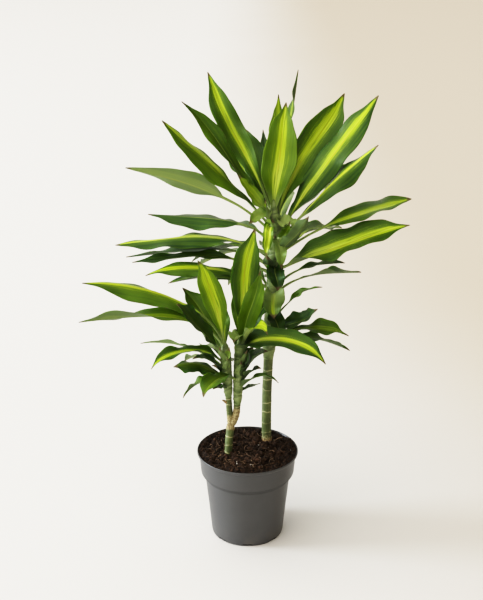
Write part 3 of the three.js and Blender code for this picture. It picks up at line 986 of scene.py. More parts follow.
REAR_LEAVES: tuple[Leaf, ...] = (
    Leaf(532, (-109, 110, 227), 65, 62, 46, roll=38, wave=5.5, band=0.2, lean=0.05, shade=0.3),
    Leaf(524, (-146, 18, 206), 57, 46, 31, roll=30, twist=25, stalk=0.12, wave=4.5, hook=-3,
          tone=0, shade=0.35),
    Leaf(516, (-176, -32, 193), 54, 44, 48, roll=30, twist=6, fold=-20, band=0.3, lean=0.3,
          band_from=0.45, shade=0.5),
    Leaf(509, (-232, -50, 132), 52, 20, 42, roll=-60, stalk=0.42, base=0.6, wave=4.5, hook=4,
          tone=0.5, lean=-0.2, shade=0.75),
    Leaf(485, (-209, 60, 49), 62, 7, 44, roll=18, fold=-24, stalk=0.36, base=0.6, hook=-4, tone=0,
          shade=0.1),
    Leaf(472, (-262, 30, 18), 34, -6, 46, roll=15, fold=-20, stalk=0.2, base=0.9, wave=4.5,
          hook=-5, band=0.24, lean=0.3, shade=0.15),
    Leaf(462, (-140, 110, -30), 40, -35, 40, roll=5, tone=0.1, shade=0.15),
    Leaf(452, (-247, 60, 6), 38, -6, 30, roll=5, stalk=0.3, wave=4.5, hook=-4, tone=0, shade=0.05),
    Leaf(442, (-234, 25, 17), 34, -8, 30, roll=14, stalk=0.3, base=0.8, tone=0, shade=0.1),
    Leaf(416, (-208, -10, 34), 34, -18, 34, roll=22, fold=-8, stalk=0.2, hook=-3, band=0.26,
          lean=0.1, band_from=0.35, shade=0.25),
    Leaf(402, (-175, 60, 8), 42, -18, 34, roll=10, stalk=0.3, wave=4.5, tone=0.1, shade=0.1),
    Leaf(545, (20, 85, 169), 88, 62, 61, turn=13, fold=16, stalk=0.04, base=0.7, wave=2,
          band=0.26, shade=0.6),
    Leaf(538, (9, 170, 173), 74, 52, 34, roll=-30, band=0.5, lean=-0.2, shade=0.6),
    Leaf(553, (42, 150, 203), 66, 68, 26, roll=35, twist=50, tone=0.3, shade=0.2),
    Leaf(508, (-18, 185, 139), 58, 30, 24, tone=0, shade=0.1),
    Leaf(515, (-48, 130, 145), 64, 42, 56, turn=-10, wave=4.5, tone=0.05, shade=0.2),
    Leaf(512, (117, 110, 211), 80, 46, 60, roll=-45, stalk=0.1, hook=-3, band=0.26, lean=-0.08,
          shade=0.28),
    Leaf(484, (163, 24, 252), 70, 52, 54, roll=-42, fold=-8, stalk=0.14, wave=4.5, hook=-3,
          band=0.2, lean=-0.08, shade=0.12),
    Leaf(488, (158, -20, 182), 58, 44, 43, roll=-38, fold=-30, stalk=0.28, wave=5, hook=3,
          band=0.16, lean=-0.1, shade=0.12),
    Leaf(474, (220, 10, 99), 38, 11, 50, roll=-22, fold=5, stalk=0.3, base=1.7, wave=6, hook=0.2,
          band=0.22, lean=0.1, shade=0.3),
    Leaf(450, (216, -20, 88), 27, 17, 65, roll=-34, stalk=0.1, base=0.75, wave=5, band=0.22,
          lean=-0.1, shade=0.2),
    Leaf(452, (51, -80, 118), 75, 55, 30, roll=20, stalk=0.22, wave=4.5, tone=0.1, shade=0.25),
    Leaf(415, (123, 60, 32), 50, -10, 28, stalk=0.4, tone=0, shade=0.2),
    Leaf(403, (153, 70, 24), 46, -6, 36, roll=16, stalk=0.34, wave=4.5, tone=0.05, shade=0.45),
    Leaf(358, (83, -30, 79), 56, 10, 15, roll=-18, stalk=0.32, tone=0),
    Leaf(355, (76, -40, 48), 10, 48, 42, roll=-30, base=0.8, tone=0, shade=0.08),
    Leaf(327, (130, -30, 25), 45, -18, 36, roll=-15, stalk=0.25, wave=6, tone=0.25, shade=0.3),
    Leaf(309, (139, 30, -8), 50, -30, 30, stalk=0.25, wave=5, tone=0.1, shade=0.2),
    Leaf(411, (2, -42, -25), 78, -82, 41, base=0.5, tone=0.9, band=0.2, shade=0.3, pale=1),
    Leaf(455, (5, -45, -20), 75, -85, 33, base=0.7, tone=0, shade=0),
    Leaf(525, (-13, -46, -32), 66, -84, 20, swing=-60, base=0.5, band=0.55, lean=0.1, shade=0.5),
    Leaf(530, (-58, -20, 90), 72, 66, 26, roll=60, tone=0.25, band=0.6, shade=0.9, pale=0.7),
    Leaf(448, (-12, -24, 40), 66, 84, 24, base=0.8, tone=0, shade=0.05, pale=0.1),
    Leaf(372, (14, -60, -22), 60, -66, 30, base=0.7, tone=0, shade=0.05),
    Leaf(395, (-30, -45, -28), 60, -70, 34, base=0.8, tone=0, shade=0.1),
    Leaf(500, (-16, -20, 80), 84, 80, 17, turn=140, tone=0.2, band=0.8, shade=0.95, pale=0.9),
    Leaf(462, (24, -24, 84), 80, 74, 18, turn=110, tone=0.1, shade=0.7, pale=0.8),
    Leaf(548, (-40, -30, -6), 46, -34, 24, roll=40, base=0.6, tone=0.1, shade=0.9, pale=1.3),
    Leaf(537, (40, -28, 0), 12, -22, 26, roll=-30, stalk=0.04, base=0.5, tone=0, shade=0.8,
          pale=1.5),
    Leaf(506, (10, -44, -34), 74, -80, 22, base=0.6, tone=0, shade=0.6, pale=1.2),
    Leaf(458, (0, -17, 64), 78, 84, 17, stalk=0.05, base=0.6, wave=1.5, tone=0, shade=0.6,
          pale=1.1),
    Leaf(498, (-5, -18, 50), 78, 82, 16, stalk=0.05, base=0.6, wave=1.5, tone=0, shade=0.7,
          pale=1.3),
    Leaf(522, (90, 150, 140), 60, 40, 46, band=0.4),
    Leaf(500, (-95, 165, 150), 56, 36, 44, wave=5),
    Leaf(495, (150, 150, 110), 62, 25, 46, tone=0.2, shade=0.3),
    Leaf(480, (-125, 165, 0), 50, -12, 40, stalk=0.25, tone=0.2, band=0.3, shade=0.1),
    Leaf(468, (25, 240, 60), 58, 0, 46, stalk=0.22, band=0.4),
    Leaf(450, (125, 185, 20), 55, -15, 42, wave=5, lean=0.15),
    Leaf(436, (-130, 180, -35), 50, -30, 42, stalk=0.25),
    Leaf(420, (-5, 225, 0), 52, -25, 42, tone=0.3, shade=0.3),
    Leaf(400, (-75, 190, -40), 48, -40, 40, wave=5, band=0.3),
    Leaf(385, (12, 185, -30), 48, -45, 38, stalk=0.25),
    Leaf(365, (-60, 150, -45), 42, -45, 36, tone=0.1, shade=0.2),
    Leaf(345, (-8, 165, -30), 45, -50, 36, stalk=0.25, band=0.28),
    Leaf(325, (-50, 110, -40), 38, -55, 32, tone=0.1, shade=0.2),
)

LEFT_LEAVES: tuple[Leaf, ...] = (
    Leaf(330, (-42, -22, 168), 80, 62, 42, turn=-105, wave=2.5, band=0.36, shade=0.8),
    Leaf(328, (-228, 0, 126), 80, 2, 50, roll=18, fold=-32, stalk=0.3, base=0.65, hook=-4,
          band=0.2, lean=0.1),
    Leaf(325, (-234, -20, 67), 76, -6, 40, roll=15, twist=-75, stalk=0.3, base=0.6, tone=0.35,
          shade=0.5),
    Leaf(316, (-75, -62, 124), 56, 48, 44, roll=48, tone=0, shade=0.12),
    Leaf(324, (-72, 60, 98), 62, 35, 42, roll=18, tone=0.05, shade=0.35),
    Leaf(292, (-143, 30, 43), 52, -12, 16, roll=-30, stalk=0.3, wave=2, tone=0.3, shade=0.7),
    Leaf(300, (-118, -60, 28), 68, -50, 31, roll=10, base=0.8, wave=4.5, band=0.24, shade=0.1),
    Leaf(282, (-56, -15, 44), 66, -15, 30, tone=0.05, shade=0.05),
    Leaf(272, (-88, -15, 40), 62, -24, 36, roll=20, fold=-25, tone=0.1, shade=0.1),
    Leaf(281, (-25, -4, 29), 60, 20, 24, tone=0, shade=0.1),
    Leaf(278, (-73, -10, -24), 42, -62, 25, roll=-15, stalk=0.15, base=0.8, tone=0, shade=0.3),
    Leaf(263, (-24, -30, 16), 40, -10, 22, tone=0, shade=0.1),
    Leaf(292, (5, -22, 58), 76, 76, 14, turn=120, tone=0, shade=0.8, pale=1.2),
    Leaf(300, (-10, -20, 50), 78, 82, 15, stalk=0.05, base=0.6, wave=1.5, tone=0, shade=0.7,
          pale=1.2),
    Leaf(284, (1, -20, 48), 78, 82, 14, stalk=0.05, base=0.6, wave=1.5, tone=0, shade=0.6,
          pale=1.2),
    Leaf(318, (-20, 95, 70), 68, 15, 36, band=0.4),
    Leaf(312, (-95, 115, 55), 58, 0, 36, wave=5),
    Leaf(296, (-45, 110, 0), 50, -25, 32, stalk=0.25, tone=0.1, shade=0.25),
    Leaf(288, (-75, 85, -10), 48, -40, 30, stalk=0.25),
)

RIGHT_LEAVES: tuple[Leaf, ...] = (
    Leaf(335, (24, -8, 210), 86, 74, 51, turn=108, band=0.28, lean=0.05, shade=0.25),
    Leaf(322, (33, -30, 160), 80, 76, 38, turn=130, base=0.8, tone=0, shade=0.65),
    Leaf(312, (135, -90, 37), 80, -45, 52, roll=-26, fold=12, stalk=0.06, base=0.5, band=0.18,
          lean=-0.02, band_from=0.2, shade=0.1),
    Leaf(268, (48, -30, 77), 66, 25, 40, roll=-20, tone=0, shade=0.05),
    Leaf(262, (38, -20, 49), 64, 15, 24, tone=0, shade=0.1),
    Leaf(330, (44, -74, 62), 60, -30, 25, roll=-10, band=0.8, shade=0.9),
    Leaf(256, (66, -40, 38), 66, -38, 15, stalk=0.05, base=0.5, wave=2, tone=0, shade=0.35),
    # This leaf is pale all over: partly its pale clasping base, partly a painted highlight on its
    # glossy fold.
    Leaf(350, (-10, -40, 14), 80, -30, 34, stalk=0.04, base=0.5, wave=2, tone=0, shade=0.95,
          pale=1.6),
    Leaf(246, (38, 52, 5), 62, -6, 12, stalk=0.05, base=0.4, wave=1.5, tone=0, shade=0.25),
    Leaf(272, (-54, -82, 16), 56, -60, 40, tone=0.1, shade=0.3),
    Leaf(292, (14, -22, 52), 78, 78, 16, stalk=0.05, base=0.6, wave=1.5, tone=0, shade=0.6,
          pale=1.2),
    Leaf(274, (5, -20, 50), 78, 84, 15, stalk=0.05, base=0.6, wave=1.5, tone=0, shade=0.5,
          pale=1.2),
    Leaf(276, (24, 52, 42), 60, 20, 32, tone=0, shade=0.1),
    Leaf(325, (4, 115, 92), 72, 30, 36),
    Leaf(300, (0, 90, 32), 60, -15, 32, stalk=0.25, tone=0.2, shade=0.3),
    Leaf(284, (-12, 100, -14), 50, -40, 28, tone=0.1, shade=0.2),
)


# ---------------------------------------------------------------- leaf crowns


BLADE_VECTORS = ("rib_point", "spread", "lift", "upward")
BLADE_HELPERS = ("flutter_left", "flutter_right", "margin_left", "margin_right")
BLADE_COLOURS = ("tone", "band", "lean", "band_from", "shade", "pale")
BLADE_FACTS = BLADE_VECTORS + BLADE_HELPERS + BLADE_COLOURS + (
    "along", "outline", "half_width", "leaf_length", "seed")


@dataclass
class Blade:
    """The guide line of one leaf: its rib, and how its blade lies at each station.

    handle is how far the rib keeps to the heading of each end, as a share of its reach, and fall
    the power at which the blade narrows to its tip. The widths are in millimetres, and the folds
    in degrees.
    """

    leaf: Leaf
    stem: Stem
    number: int
    stations: int = 60
    handle: float = 0.38
    stalk_width: float = 9
    clasp_width: float = 6
    clasp_fold: float = 62
    tip_fold: float = 10
    tip_width: float = 1.6
    tip_slimming: float = 0.38
    fall: float = 0.8
    waves: float = 2.2
    sway: float = 1.6

    def outline(self, t: float) -> float:
        """The blade's outline, from 0 at the stalk through 1 at its widest to 0 at the tip.

        Args:
            t: the share of the leaf's length.

        Returns:
            The width there as a share of the greatest.
        """
        rise, fall = self.leaf.base, self.fall
        widest = rise / (rise + fall)
        share = min(max((t - self.leaf.stalk) / (1 - self.leaf.stalk), 0), 1)
        full = share ** rise * (1 - share) ** fall / (widest ** rise * (1 - widest) ** fall)
        return full * (1 - self.tip_slimming * smoothstep(0.84, 0.95, t))

    def half_width(self, t: float) -> float:
        """Half the blade's width, in millimetres.

        Args:
            t: the share of the leaf's length.

        Returns:
            The half-width, which the stalk and the clasping base keep from 0.
        """
        clasp = 1 - smoothstep(0, 0.12, t)
        stalk = self.stalk_width * (1 - t) ** 0.6 + self.clasp_width * clasp
        return max(math.hypot(stalk, self.leaf.width * self.outline(t)), self.tip_width) / 2

    def curve(self) -> tuple[list[Vector], list[Vector]]:
        """The rib as one Bezier curve from the stem to the tip.

        Returns:
            Its points in millimetres, and its unit tangents, at every station.
        """
        leaf = self.leaf
        root, reach = self.stem.at(leaf.at), Vector(leaf.tip)
        end = root + reach
        heading, swing = math.atan2(reach.y, reach.x), math.radians(leaf.swing)
        straight = reach.length * self.handle
        start = root + heading_vector(heading + swing, math.radians(leaf.leave)) * straight
        finish = end - heading_vector(heading - swing, math.radians(leaf.arrive)) * straight
        points, tangents = [], []
        for i in range(self.stations + 1):
            t = i / self.stations
            s = 1 - t
            points.append(root * s ** 3 + start * (3 * s * s * t) + finish * (3 * s * t * t)
                          + end * t ** 3)
            slope = ((start - root) * (s * s) + (finish - start) * (2 * s * t)
                     + (end - finish) * (t * t))
            tangents.append(slope.normalized())
        return points, tangents

    def swell(self, t: float, hand: Margin, waves: float, shift: float, step: float) -> float:
        """A wave along one margin, from -1 to 1, with its own phase on every leaf.

        Args:
            t: the share of the leaf's length.
            hand: the margin.
            waves: the number of waves along the leaf.
            shift: how far the two margins are out of step, in waves.
            step: how far the phase moves from leaf to leaf, in radians.

        Returns:
            The wave's height.
        """
        return math.sin(FULL_TURN * (waves * t + shift * hand.value) + step * self.number)

    def margin(self, t: float, hand: Margin) -> float:
        """How far a margin reaches, as a share of the half-width.

        Args:
            t: the share of the leaf's length.
            hand: the margin.

        Returns:
            The share, which is 1 on the stalk.
        """
        slow, quick = self.swell(t, hand, 1.7, 0.31, 1.7), self.swell(t, hand, 4.3, 0.19, 2.9)
        blade = min(self.outline(t) * 3, 1)
        return 1 - blade * (0.07 - 0.045 * slow - 0.025 * quick)

    def flutter(self, t: float, hand: Margin) -> float:
        """How far the wave of a margin lifts it, in millimetres.

        Args:
            t: the share of the leaf's length.
            hand: the margin.

        Returns:
            The lift.
        """
        slow = self.swell(t, hand, self.waves, 0.23, 2.4)
        quick = self.swell(t, hand, 5.1, 0.37, 1.3)
        return self.leaf.wave * self.outline(t) * (slow + 0.38 * quick)

    def facts(self) -> dict[str, list[Any]]:
        """What the blade tree and the leaf finish read.

        Returns:
            For each of BLADE_FACTS one value at every station, in metres.
        """
        leaf, found = self.leaf, {name: [] for name in BLADE_FACTS}
        points, tangents = self.curve()
        facing = math.atan2(leaf.tip[1], leaf.tip[0]) + math.radians(leaf.turn)
        level = Vector((math.sin(facing), -math.cos(facing), 0))
        length = sum((b - a).length for a, b in zip(points, points[1:])) * MM
        for i, (point, along) in enumerate(zip(points, tangents)):
            t = i / self.stations
            side = (level - along * along.dot(level)).normalized()
            roll = math.radians(leaf.roll * smoothstep(0, 0.45, t)
                                + leaf.twist * smoothstep(0.4, 1, t))
            up = side.cross(along)
            side, up = (side * math.cos(roll) + up * math.sin(roll),
                        up * math.cos(roll) - side * math.sin(roll))
            clasp = 1 - smoothstep(0.05, 0.45, t)
            fold = math.radians(mix(leaf.fold, self.clasp_fold, clasp)
                                + self.tip_fold * smoothstep(0.8, 1, t))
            half = self.half_width(t) * MM
            sway = (self.sway * self.outline(t) * math.sin(7 * t + 2.1 * self.number)
                    + leaf.hook * smoothstep(0.86, 1.05, t))
            station = {
                "rib_point": (point + side * sway) * MM,
                "spread": side * half * math.cos(fold),
                "lift": up * half * math.sin(fold),
                "upward": up,
                "along": t,
                "outline": self.outline(t),
                "half_width": half,
                "leaf_length": length,
                "seed": (self.number * GOLDEN_SHARE) % 1,
            }
            for hand in Margin:
                station["flutter_" + hand.name.lower()] = self.flutter(t, hand) * MM
                station["margin_" + hand.name.lower()] = self.margin(t, hand)
            for name in BLADE_COLOURS:
                station[name] = getattr(leaf, name)
            for name in BLADE_FACTS:
                found[name].append(station[name])
        return found


@dataclass
class LeafCrown:
    """A leafy shoot: its leaves in one piece, and the shoot that they clasp in another.

    girths lists the shoot's heights and radii, and thickness, ripple and sheath_spacing are in
    millimetres. crowding draws the section's points to the rib, cupping curves each half, and
    rib_reach is how far from the rib its groove reaches, as a share of the half.
    """

    name: str
    node: str
    stem: Stem
    girths: Stations
    leaves: tuple[Leaf, ...]
    finish: bpy.types.Material
    shoot_finish: bpy.types.Material
    seed: int
    thickness: float = 1.0
    ripple: float = 0.9
    section_points: int = 22
    sheath_spacing: float = 13
    crowding: float = 1.5
    cupping: float = 1.12
    rib_reach: float = 0.22
    ripple_grain: float = 42

    def blade_tree(self) -> ShapeTree:
        """The tree that carries a lens-shaped section along every rib and folds and waves it.

        Returns:
            The tree, which takes the ribs as polylines.
        """
        tree = ShapeTree(self.name + " blades")
        thickness = tree.number("Thickness", self.thickness * MM)
        count = tree.count("Section points", self.section_points)
        ripple = tree.number("Margin ripple", self.ripple * MM)
        seed = tree.number("Seed", self.seed)
        finish = tree.finish_input("Leaf finish", self.finish)

        ribs = tree.add("GeometryNodeMeshToCurve", values={"Mesh": tree.start()})
        ring = tree.store(tree.circle(count, 1.0), "section", tree.position(), Kind.VECTOR)
        blades = tree.sweep(ribs, ring)

        section = tree.named_vector("section")
        turn, face = tree.part(section, 0), tree.part(section, 1)
        from_rib = abs(turn) ** self.crowding
        hand = turn.sign()
        across = from_rib * hand
        right = hand.over(-0.5, 0.5)
        left = 1 - right
        flutter = tree.named("flutter_left") * left + tree.named("flutter_right") * right
        reach = tree.named("margin_left") * left + tree.named("margin_right") * right
        length = tree.named("along") * tree.named("leaf_length")
        wobble = tree.noise(tree.vector(length * self.ripple_grain,
                                        tree.named("seed") * 37 + seed, hand * 3))
        margin = from_rib * from_rib
        rise = flutter * margin + (wobble - 0.5) * ripple * tree.named("outline") * margin
        rise = rise + face * thickness * 0.5
        groove = (1 - from_rib.over(0.0, self.rib_reach)) * tree.named("outline")
        rise = rise - groove * thickness * 0.5
        lifted = tree.scaled(tree.named_vector("lift"), from_rib ** self.cupping)
        spread = tree.scaled(tree.named_vector("spread"), across * reach)
        raised = tree.scaled(tree.named_vector("upward"), rise)
        place = tree.vectors("ADD", tree.named_vector("rib_point"), spread)
        place = tree.vectors("ADD", tree.vectors("ADD", place, lifted), raised)
        blades = tree.store(tree.store(blades, "across", across), "upper", face)
        blades = tree.add("GeometryNodeSetPosition", values={"Geometry": blades, "Position": place})
        tree.end(tree.finished(tree.smooth(blades), finish))
        return tree

    def build(self) -> None:
        """Makes the leaves and the shoot, and gives both to the frame."""
        lines, facts = [], {name: [] for name in BLADE_FACTS}
        for number, leaf in enumerate(self.leaves):
            found = Blade(leaf, self.stem, number).facts()
            lines.append(found["rib_point"])
            for name in BLADE_FACTS:
                facts[name] += found[name]
        guide = guide_mesh(self.name + "_ribs", lines, facts, BLADE_VECTORS)
        leaves = self.blade_tree().bake(guide, self.name + "_leaves")
        drop_helpers(leaves.data, BLADE_VECTORS + BLADE_HELPERS + ("section",))
        face_outwards(leaves.data)
        give_to_frame(leaves, Slot.LEAF, self.node)

        shoot = CaneSweep(self.name + "_shoot", self.shoot_finish, scar_rise=0.1, lean=0.55,
                          sheaths=1, sheath_rise=0.8, spacing=self.sheath_spacing)
        low, high = self.girths[0][0], self.girths[-1][0]
        count = round((high - low) / self.sheath_spacing)
        rings = tuple(low + self.sheath_spacing * k for k in range(count + 1))
        give_to_frame(shoot.build([CaneRun(self.stem, self.girths, rings)]), Slot.LEAF, self.node)


# ---------------------------------------------------------------- canes


@dataclass(frozen=True)
class CaneRun:
    """One run of a cane, in millimetres.

    girths lists heights and radii, rings the heights of its ring scars, and earth heights and how
    brown and flaky the skin is there, from 0 to 1.
    """

    stem: Stem
    girths: Stations
    rings: tuple[float, ...]
    earth: Stations = ((0, 0),)
    ring_turn: float = 2.4

    def from_ring(self, height: float) -> tuple[float, float]:
        """How a height lies to the nearest ring.

        Args:
            height: the height in millimetres.

        Returns:
            How far it is above the ring, and the heading that this ring leans in, in radians.
        """
        _, number = min((abs(height - ring), k) for k, ring in enumerate(self.rings))
        return height - self.rings[number], self.ring_turn * number

    @staticmethod
    def read(stations: Stations, height: float) -> float:
        """The value at a height, smoothed between stations.

        Args:
            stations: heights and values, upwards.
            height: the height in millimetres.

        Returns:
            The value. Past either end it is the end's own.
        """
        if height <= stations[0][0]:
            return stations[0][1]
        for (low, a), (high, b) in zip(stations, stations[1:]):
            if height < high:
                return mix(a, b, smoothstep(low, high, height))
        return stations[-1][1]


@dataclass
class CaneSweep:
    """Canes and shoots: a round section swept along a centre line, with ring scars.

    Where sheaths is 1 the skin widens from each ring to the next, as clasping leaf bases do, with
    spacing between them. lean is how far a ring tilts for its radius, scar_reach how far above and
    below a ring its scar starts to fade and ends, and ring_wobble how far a ring strays. Sizes are
    in millimetres, and the grains are noise scales for each metre.
    """

    name: str
    finish: bpy.types.Material
    scar_rise: float = 0.5
    lean: float = 0.10
    sheaths: float = 0
    sheath_rise: float = 1.1
    spacing: float = 9
    sides: int = 36
    step: float = 1.0
    seed: int = 11
    scar_reach: tuple[float, float] = (0.15, 0.95)
    ring_wobble: float = 3.4
    wobble_grain: tuple[float, float] = (190, 45)
    lump_grain: Point = (110.0, 110.0, 60.0)
    lumpiness: float = 1.6
    vectors: tuple[str, ...] = ("centre", "ring_lean")
    helpers: tuple[str, ...] = ("girth", "centre", "station", "ring_gap", "ring_lean")

    def tree(self) -> ShapeTree:
        """The tree that sweeps the section and raises its scars.

        Returns:
            The tree, which takes the centre lines as polylines.
        """
        tree = ShapeTree(self.name + " sweep")
        sides = tree.count("Sides", self.sides)
        rise = tree.number("Scar rise", self.scar_rise * MM)
        lean = tree.number("Ring lean", self.lean)
        sheaths = tree.number("Sheaths", self.sheaths)
        sheath_rise = tree.number("Sheath rise", self.sheath_rise * MM)
        spacing = tree.number("Sheath spacing", self.spacing * MM)
        seed = tree.number("Seed", self.seed)
        finish = tree.finish_input("Cane finish", self.finish)

        runs = tree.add("GeometryNodeMeshToCurve", values={"Mesh": tree.start()})
        cane = tree.sweep(runs, tree.circle(sides, 1.0), tree.named("girth"))
        place = tree.position()
        out = tree.vectors("SUBTRACT", place, tree.named_vector("centre"))
        tilt = tree.vectors("DOT_PRODUCT", out, tree.named_vector("ring_lean"), "Value") * lean
        wide, tall = self.wobble_grain
        ripple = tree.noise(tree.vector(tree.part(out, 0) * wide, tree.part(out, 1) * wide,
                                        tree.named("station") * tall + seed), detail=1)
        height = tree.named("ring_gap") + tilt + (ripple - 0.5) * (self.ring_wobble * MM)
        scar = 1 - abs(height).over(*(reach * MM for reach in self.scar_reach))
        cup = (height / spacing).fraction() * sheaths
        lumps = tree.grain(place, self.lump_grain, 2)
        swell = scar * rise + (lumps - 0.5) * rise * self.lumpiness + cup * sheath_rise
        move = tree.scaled(tree.vectors("NORMALIZE", out), swell)
        cane = tree.store(tree.store(cane, "cup", cup), "scar", scar)
        cane = tree.add("GeometryNodeSetPosition", values={"Geometry": cane, "Offset": move})
        tree.end(tree.finished(tree.smooth(cane), finish))
        return tree

    def build(self, runs: Sequence[CaneRun]) -> bpy.types.Object:
        """Makes one piece of one or more runs.

        Args:
            runs: the runs, which may start inside each other.

        Returns:
            The finished object.
        """
        lines: list[list[Vector]] = []
        facts: dict[str, list[Any]] = {name: [] for name in self.helpers + ("earth",)}
        for run in runs:
            low, high = run.girths[0][0], run.girths[-1][0]
            count = max(round((high - low) / self.step), 2)
            lines.append([])
            for height in (mix(low, high, i / count) for i in range(count + 1)):
                gap, heading = run.from_ring(height)
                centre = run.stem.smooth_at(height) * MM
                lines[-1].append(centre)
                facts["centre"].append(centre)
                facts["girth"].append(run.read(run.girths, height) * MM)
                facts["station"].append(height * MM)
                facts["earth"].append(run.read(run.earth, height))
                facts["ring_gap"].append(gap * MM)
                facts["ring_lean"].append(heading_vector(heading, 0))
        guide = guide_mesh(self.name + "_line", lines, facts, self.vectors)
        piece = self.tree().bake(guide, self.name)
        drop_helpers(piece.data, self.helpers)
        face_outwards(piece.data)
        return piece


@dataclass
class Canes:
    """The two bare canes with their papery sheath and dry stub, in millimetres.

    The sheath is listed as shares of its height and gaps from the cane, up its outside and down
    its inside, and the stub as shares of its length and radii.
    """

    finish: bpy.types.Material
    papery: bpy.types.Material
    foot: float = 81
    rear_rings: tuple[float, ...] = (158, 168, 187, 205, 222, 246, 263, 281)
    trunk_rings: tuple[float, ...] = (154, 166, 181, 195)
    left_rings: tuple[float, ...] = (204, 213, 226, 238, 249)
    right_rings: tuple[float, ...] = (203, 210, 217, 225, 234)
    sheath_sides: int = 60
    sheath_foot: float = 149.5
    sheath_height: float = 9
    sheath_radius: float = 8.3
    sheath_wall: Stations = ((0.0, 1.3), (0.35, 0.9), (0.7, 0.8), (1.0, 1.0), (1.0, 0.7),
                             (0.7, 0.3), (0.35, 0.3), (0.0, 0.7))
    stub_sides: int = 16
    stub_height: float = 243
    stub_seat: Point = (-3.5, -2, -1)
    stub_heading: Point = (-0.80, -0.15, 0.55)
    stub_length: float = 9.2
    stub_radii: Stations = ((0, 2.3), (0.25, 2.2), (0.5, 1.7), (0.75, 1.5), (0.93, 1.1), (1, 0.5))

    def build(self) -> None:
        """Makes every piece of the canes and gives it to the frame."""
        rear = CaneSweep("rear_cane_skin", self.finish, lean=0.16)
        run = CaneRun(REAR_STEM, ((self.foot, 8), (160, 8.2), (299.7, 8)), self.rear_rings,
                      ((152, 1), (161, 0.4), (169, 0)))
        give_to_frame(rear.build([run]), Slot.CANE, "rear_cane")
        front = CaneSweep("front_cane_skin", self.finish, lean=0.20, seed=4)
        runs = [
            CaneRun(FRONT_TRUNK, ((self.foot, 6.6), (184, 6.5), (194, 7), (199.9, 6.4)),
                    self.trunk_rings, ((188, 0), (196, 1))),
            CaneRun(LEFT_STEM, ((196.2, 4.4), (204, 5.2), (251.7, 5)), self.left_rings,
                    ((212, 1), (224, 0))),
            CaneRun(RIGHT_STEM, ((196.2, 4.6), (206, 6.4), (237.7, 5.6)), self.right_rings,
                    ((228, 1), (234, 0))),
        ]
        give_to_frame(front.build(runs), Slot.CANE, "front_cane")
        give_to_frame(self.sheath(), Slot.CANE, "rear_cane")
        give_to_frame(self.stub(), Slot.CANE, "front_cane")

    @staticmethod
    def tear(angle: float, reach: float, level: float) -> float:
        """Smooth noise round a ring, whose reach sets how ragged it is."""
        return noise.noise(Vector((math.cos(angle) * reach, math.sin(angle) * reach, level)))

    def sheath(self) -> bpy.types.Object:
        """The torn papery collar round the foot of the rear cane.

        Returns:
            The finished object.
        """
        work = bmesh.new()
        rows: list[list[bmesh.types.BMVert]] = []
        for share, gap in self.sheath_wall:
            row = []
            for k in range(self.sheath_sides):
                angle = FULL_TURN * k / self.sheath_sides
                rag = self.tear(angle, 9, 1.0)
                top = self.sheath_height * (0.80 + 0.50 * self.tear(angle, 2.2, 4.0) + 0.2 * rag)
                z = self.sheath_foot + share * top
                radius = self.sheath_radius + gap + 0.35 * rag
                centre = REAR_STEM.smooth_at(z)
                spoke = Vector((math.cos(angle), math.sin(angle), 0))
                row.append(work.verts.new((centre + spoke * radius) * MM))
            rows.append(row)
        loft(work, rows + rows[:1])
        return finished_mesh("rear_cane_sheath", work, self.papery)

    def stub(self) -> bpy.types.Object:
        """The dry, shrivelled stub of a lost branch on the front cane.

        Returns:
            The finished object.
        """
        work = bmesh.new()
        rows: list[list[bmesh.types.BMVert]] = []
        seat = LEFT_STEM.at(self.stub_height) + Vector(self.stub_seat)
        reach = Vector(self.stub_heading).normalized()
        across = reach.cross(Vector((0, 1, 0))).normalized()
        other = reach.cross(across)
        for share, radius in self.stub_radii:
            row = []
            for k in range(self.stub_sides):
                angle = FULL_TURN * k / self.stub_sides
                crease = 1 + 0.16 * math.sin(3 * angle + 4 * share) + 0.1 * math.sin(7 * angle)
                spoke = across * math.cos(angle) + other * math.sin(angle)
                row.append(work.verts.new((seat + reach * self.stub_length * share
                                           + spoke * radius * crease) * MM))
            rows.append(row)
        loft(work, rows)
        work.faces.new(rows[0])
        work.faces.new(rows[-1])
        return finished_mesh("front_cane_stub", work, self.papery)


# ---------------------------------------------------------------- pot


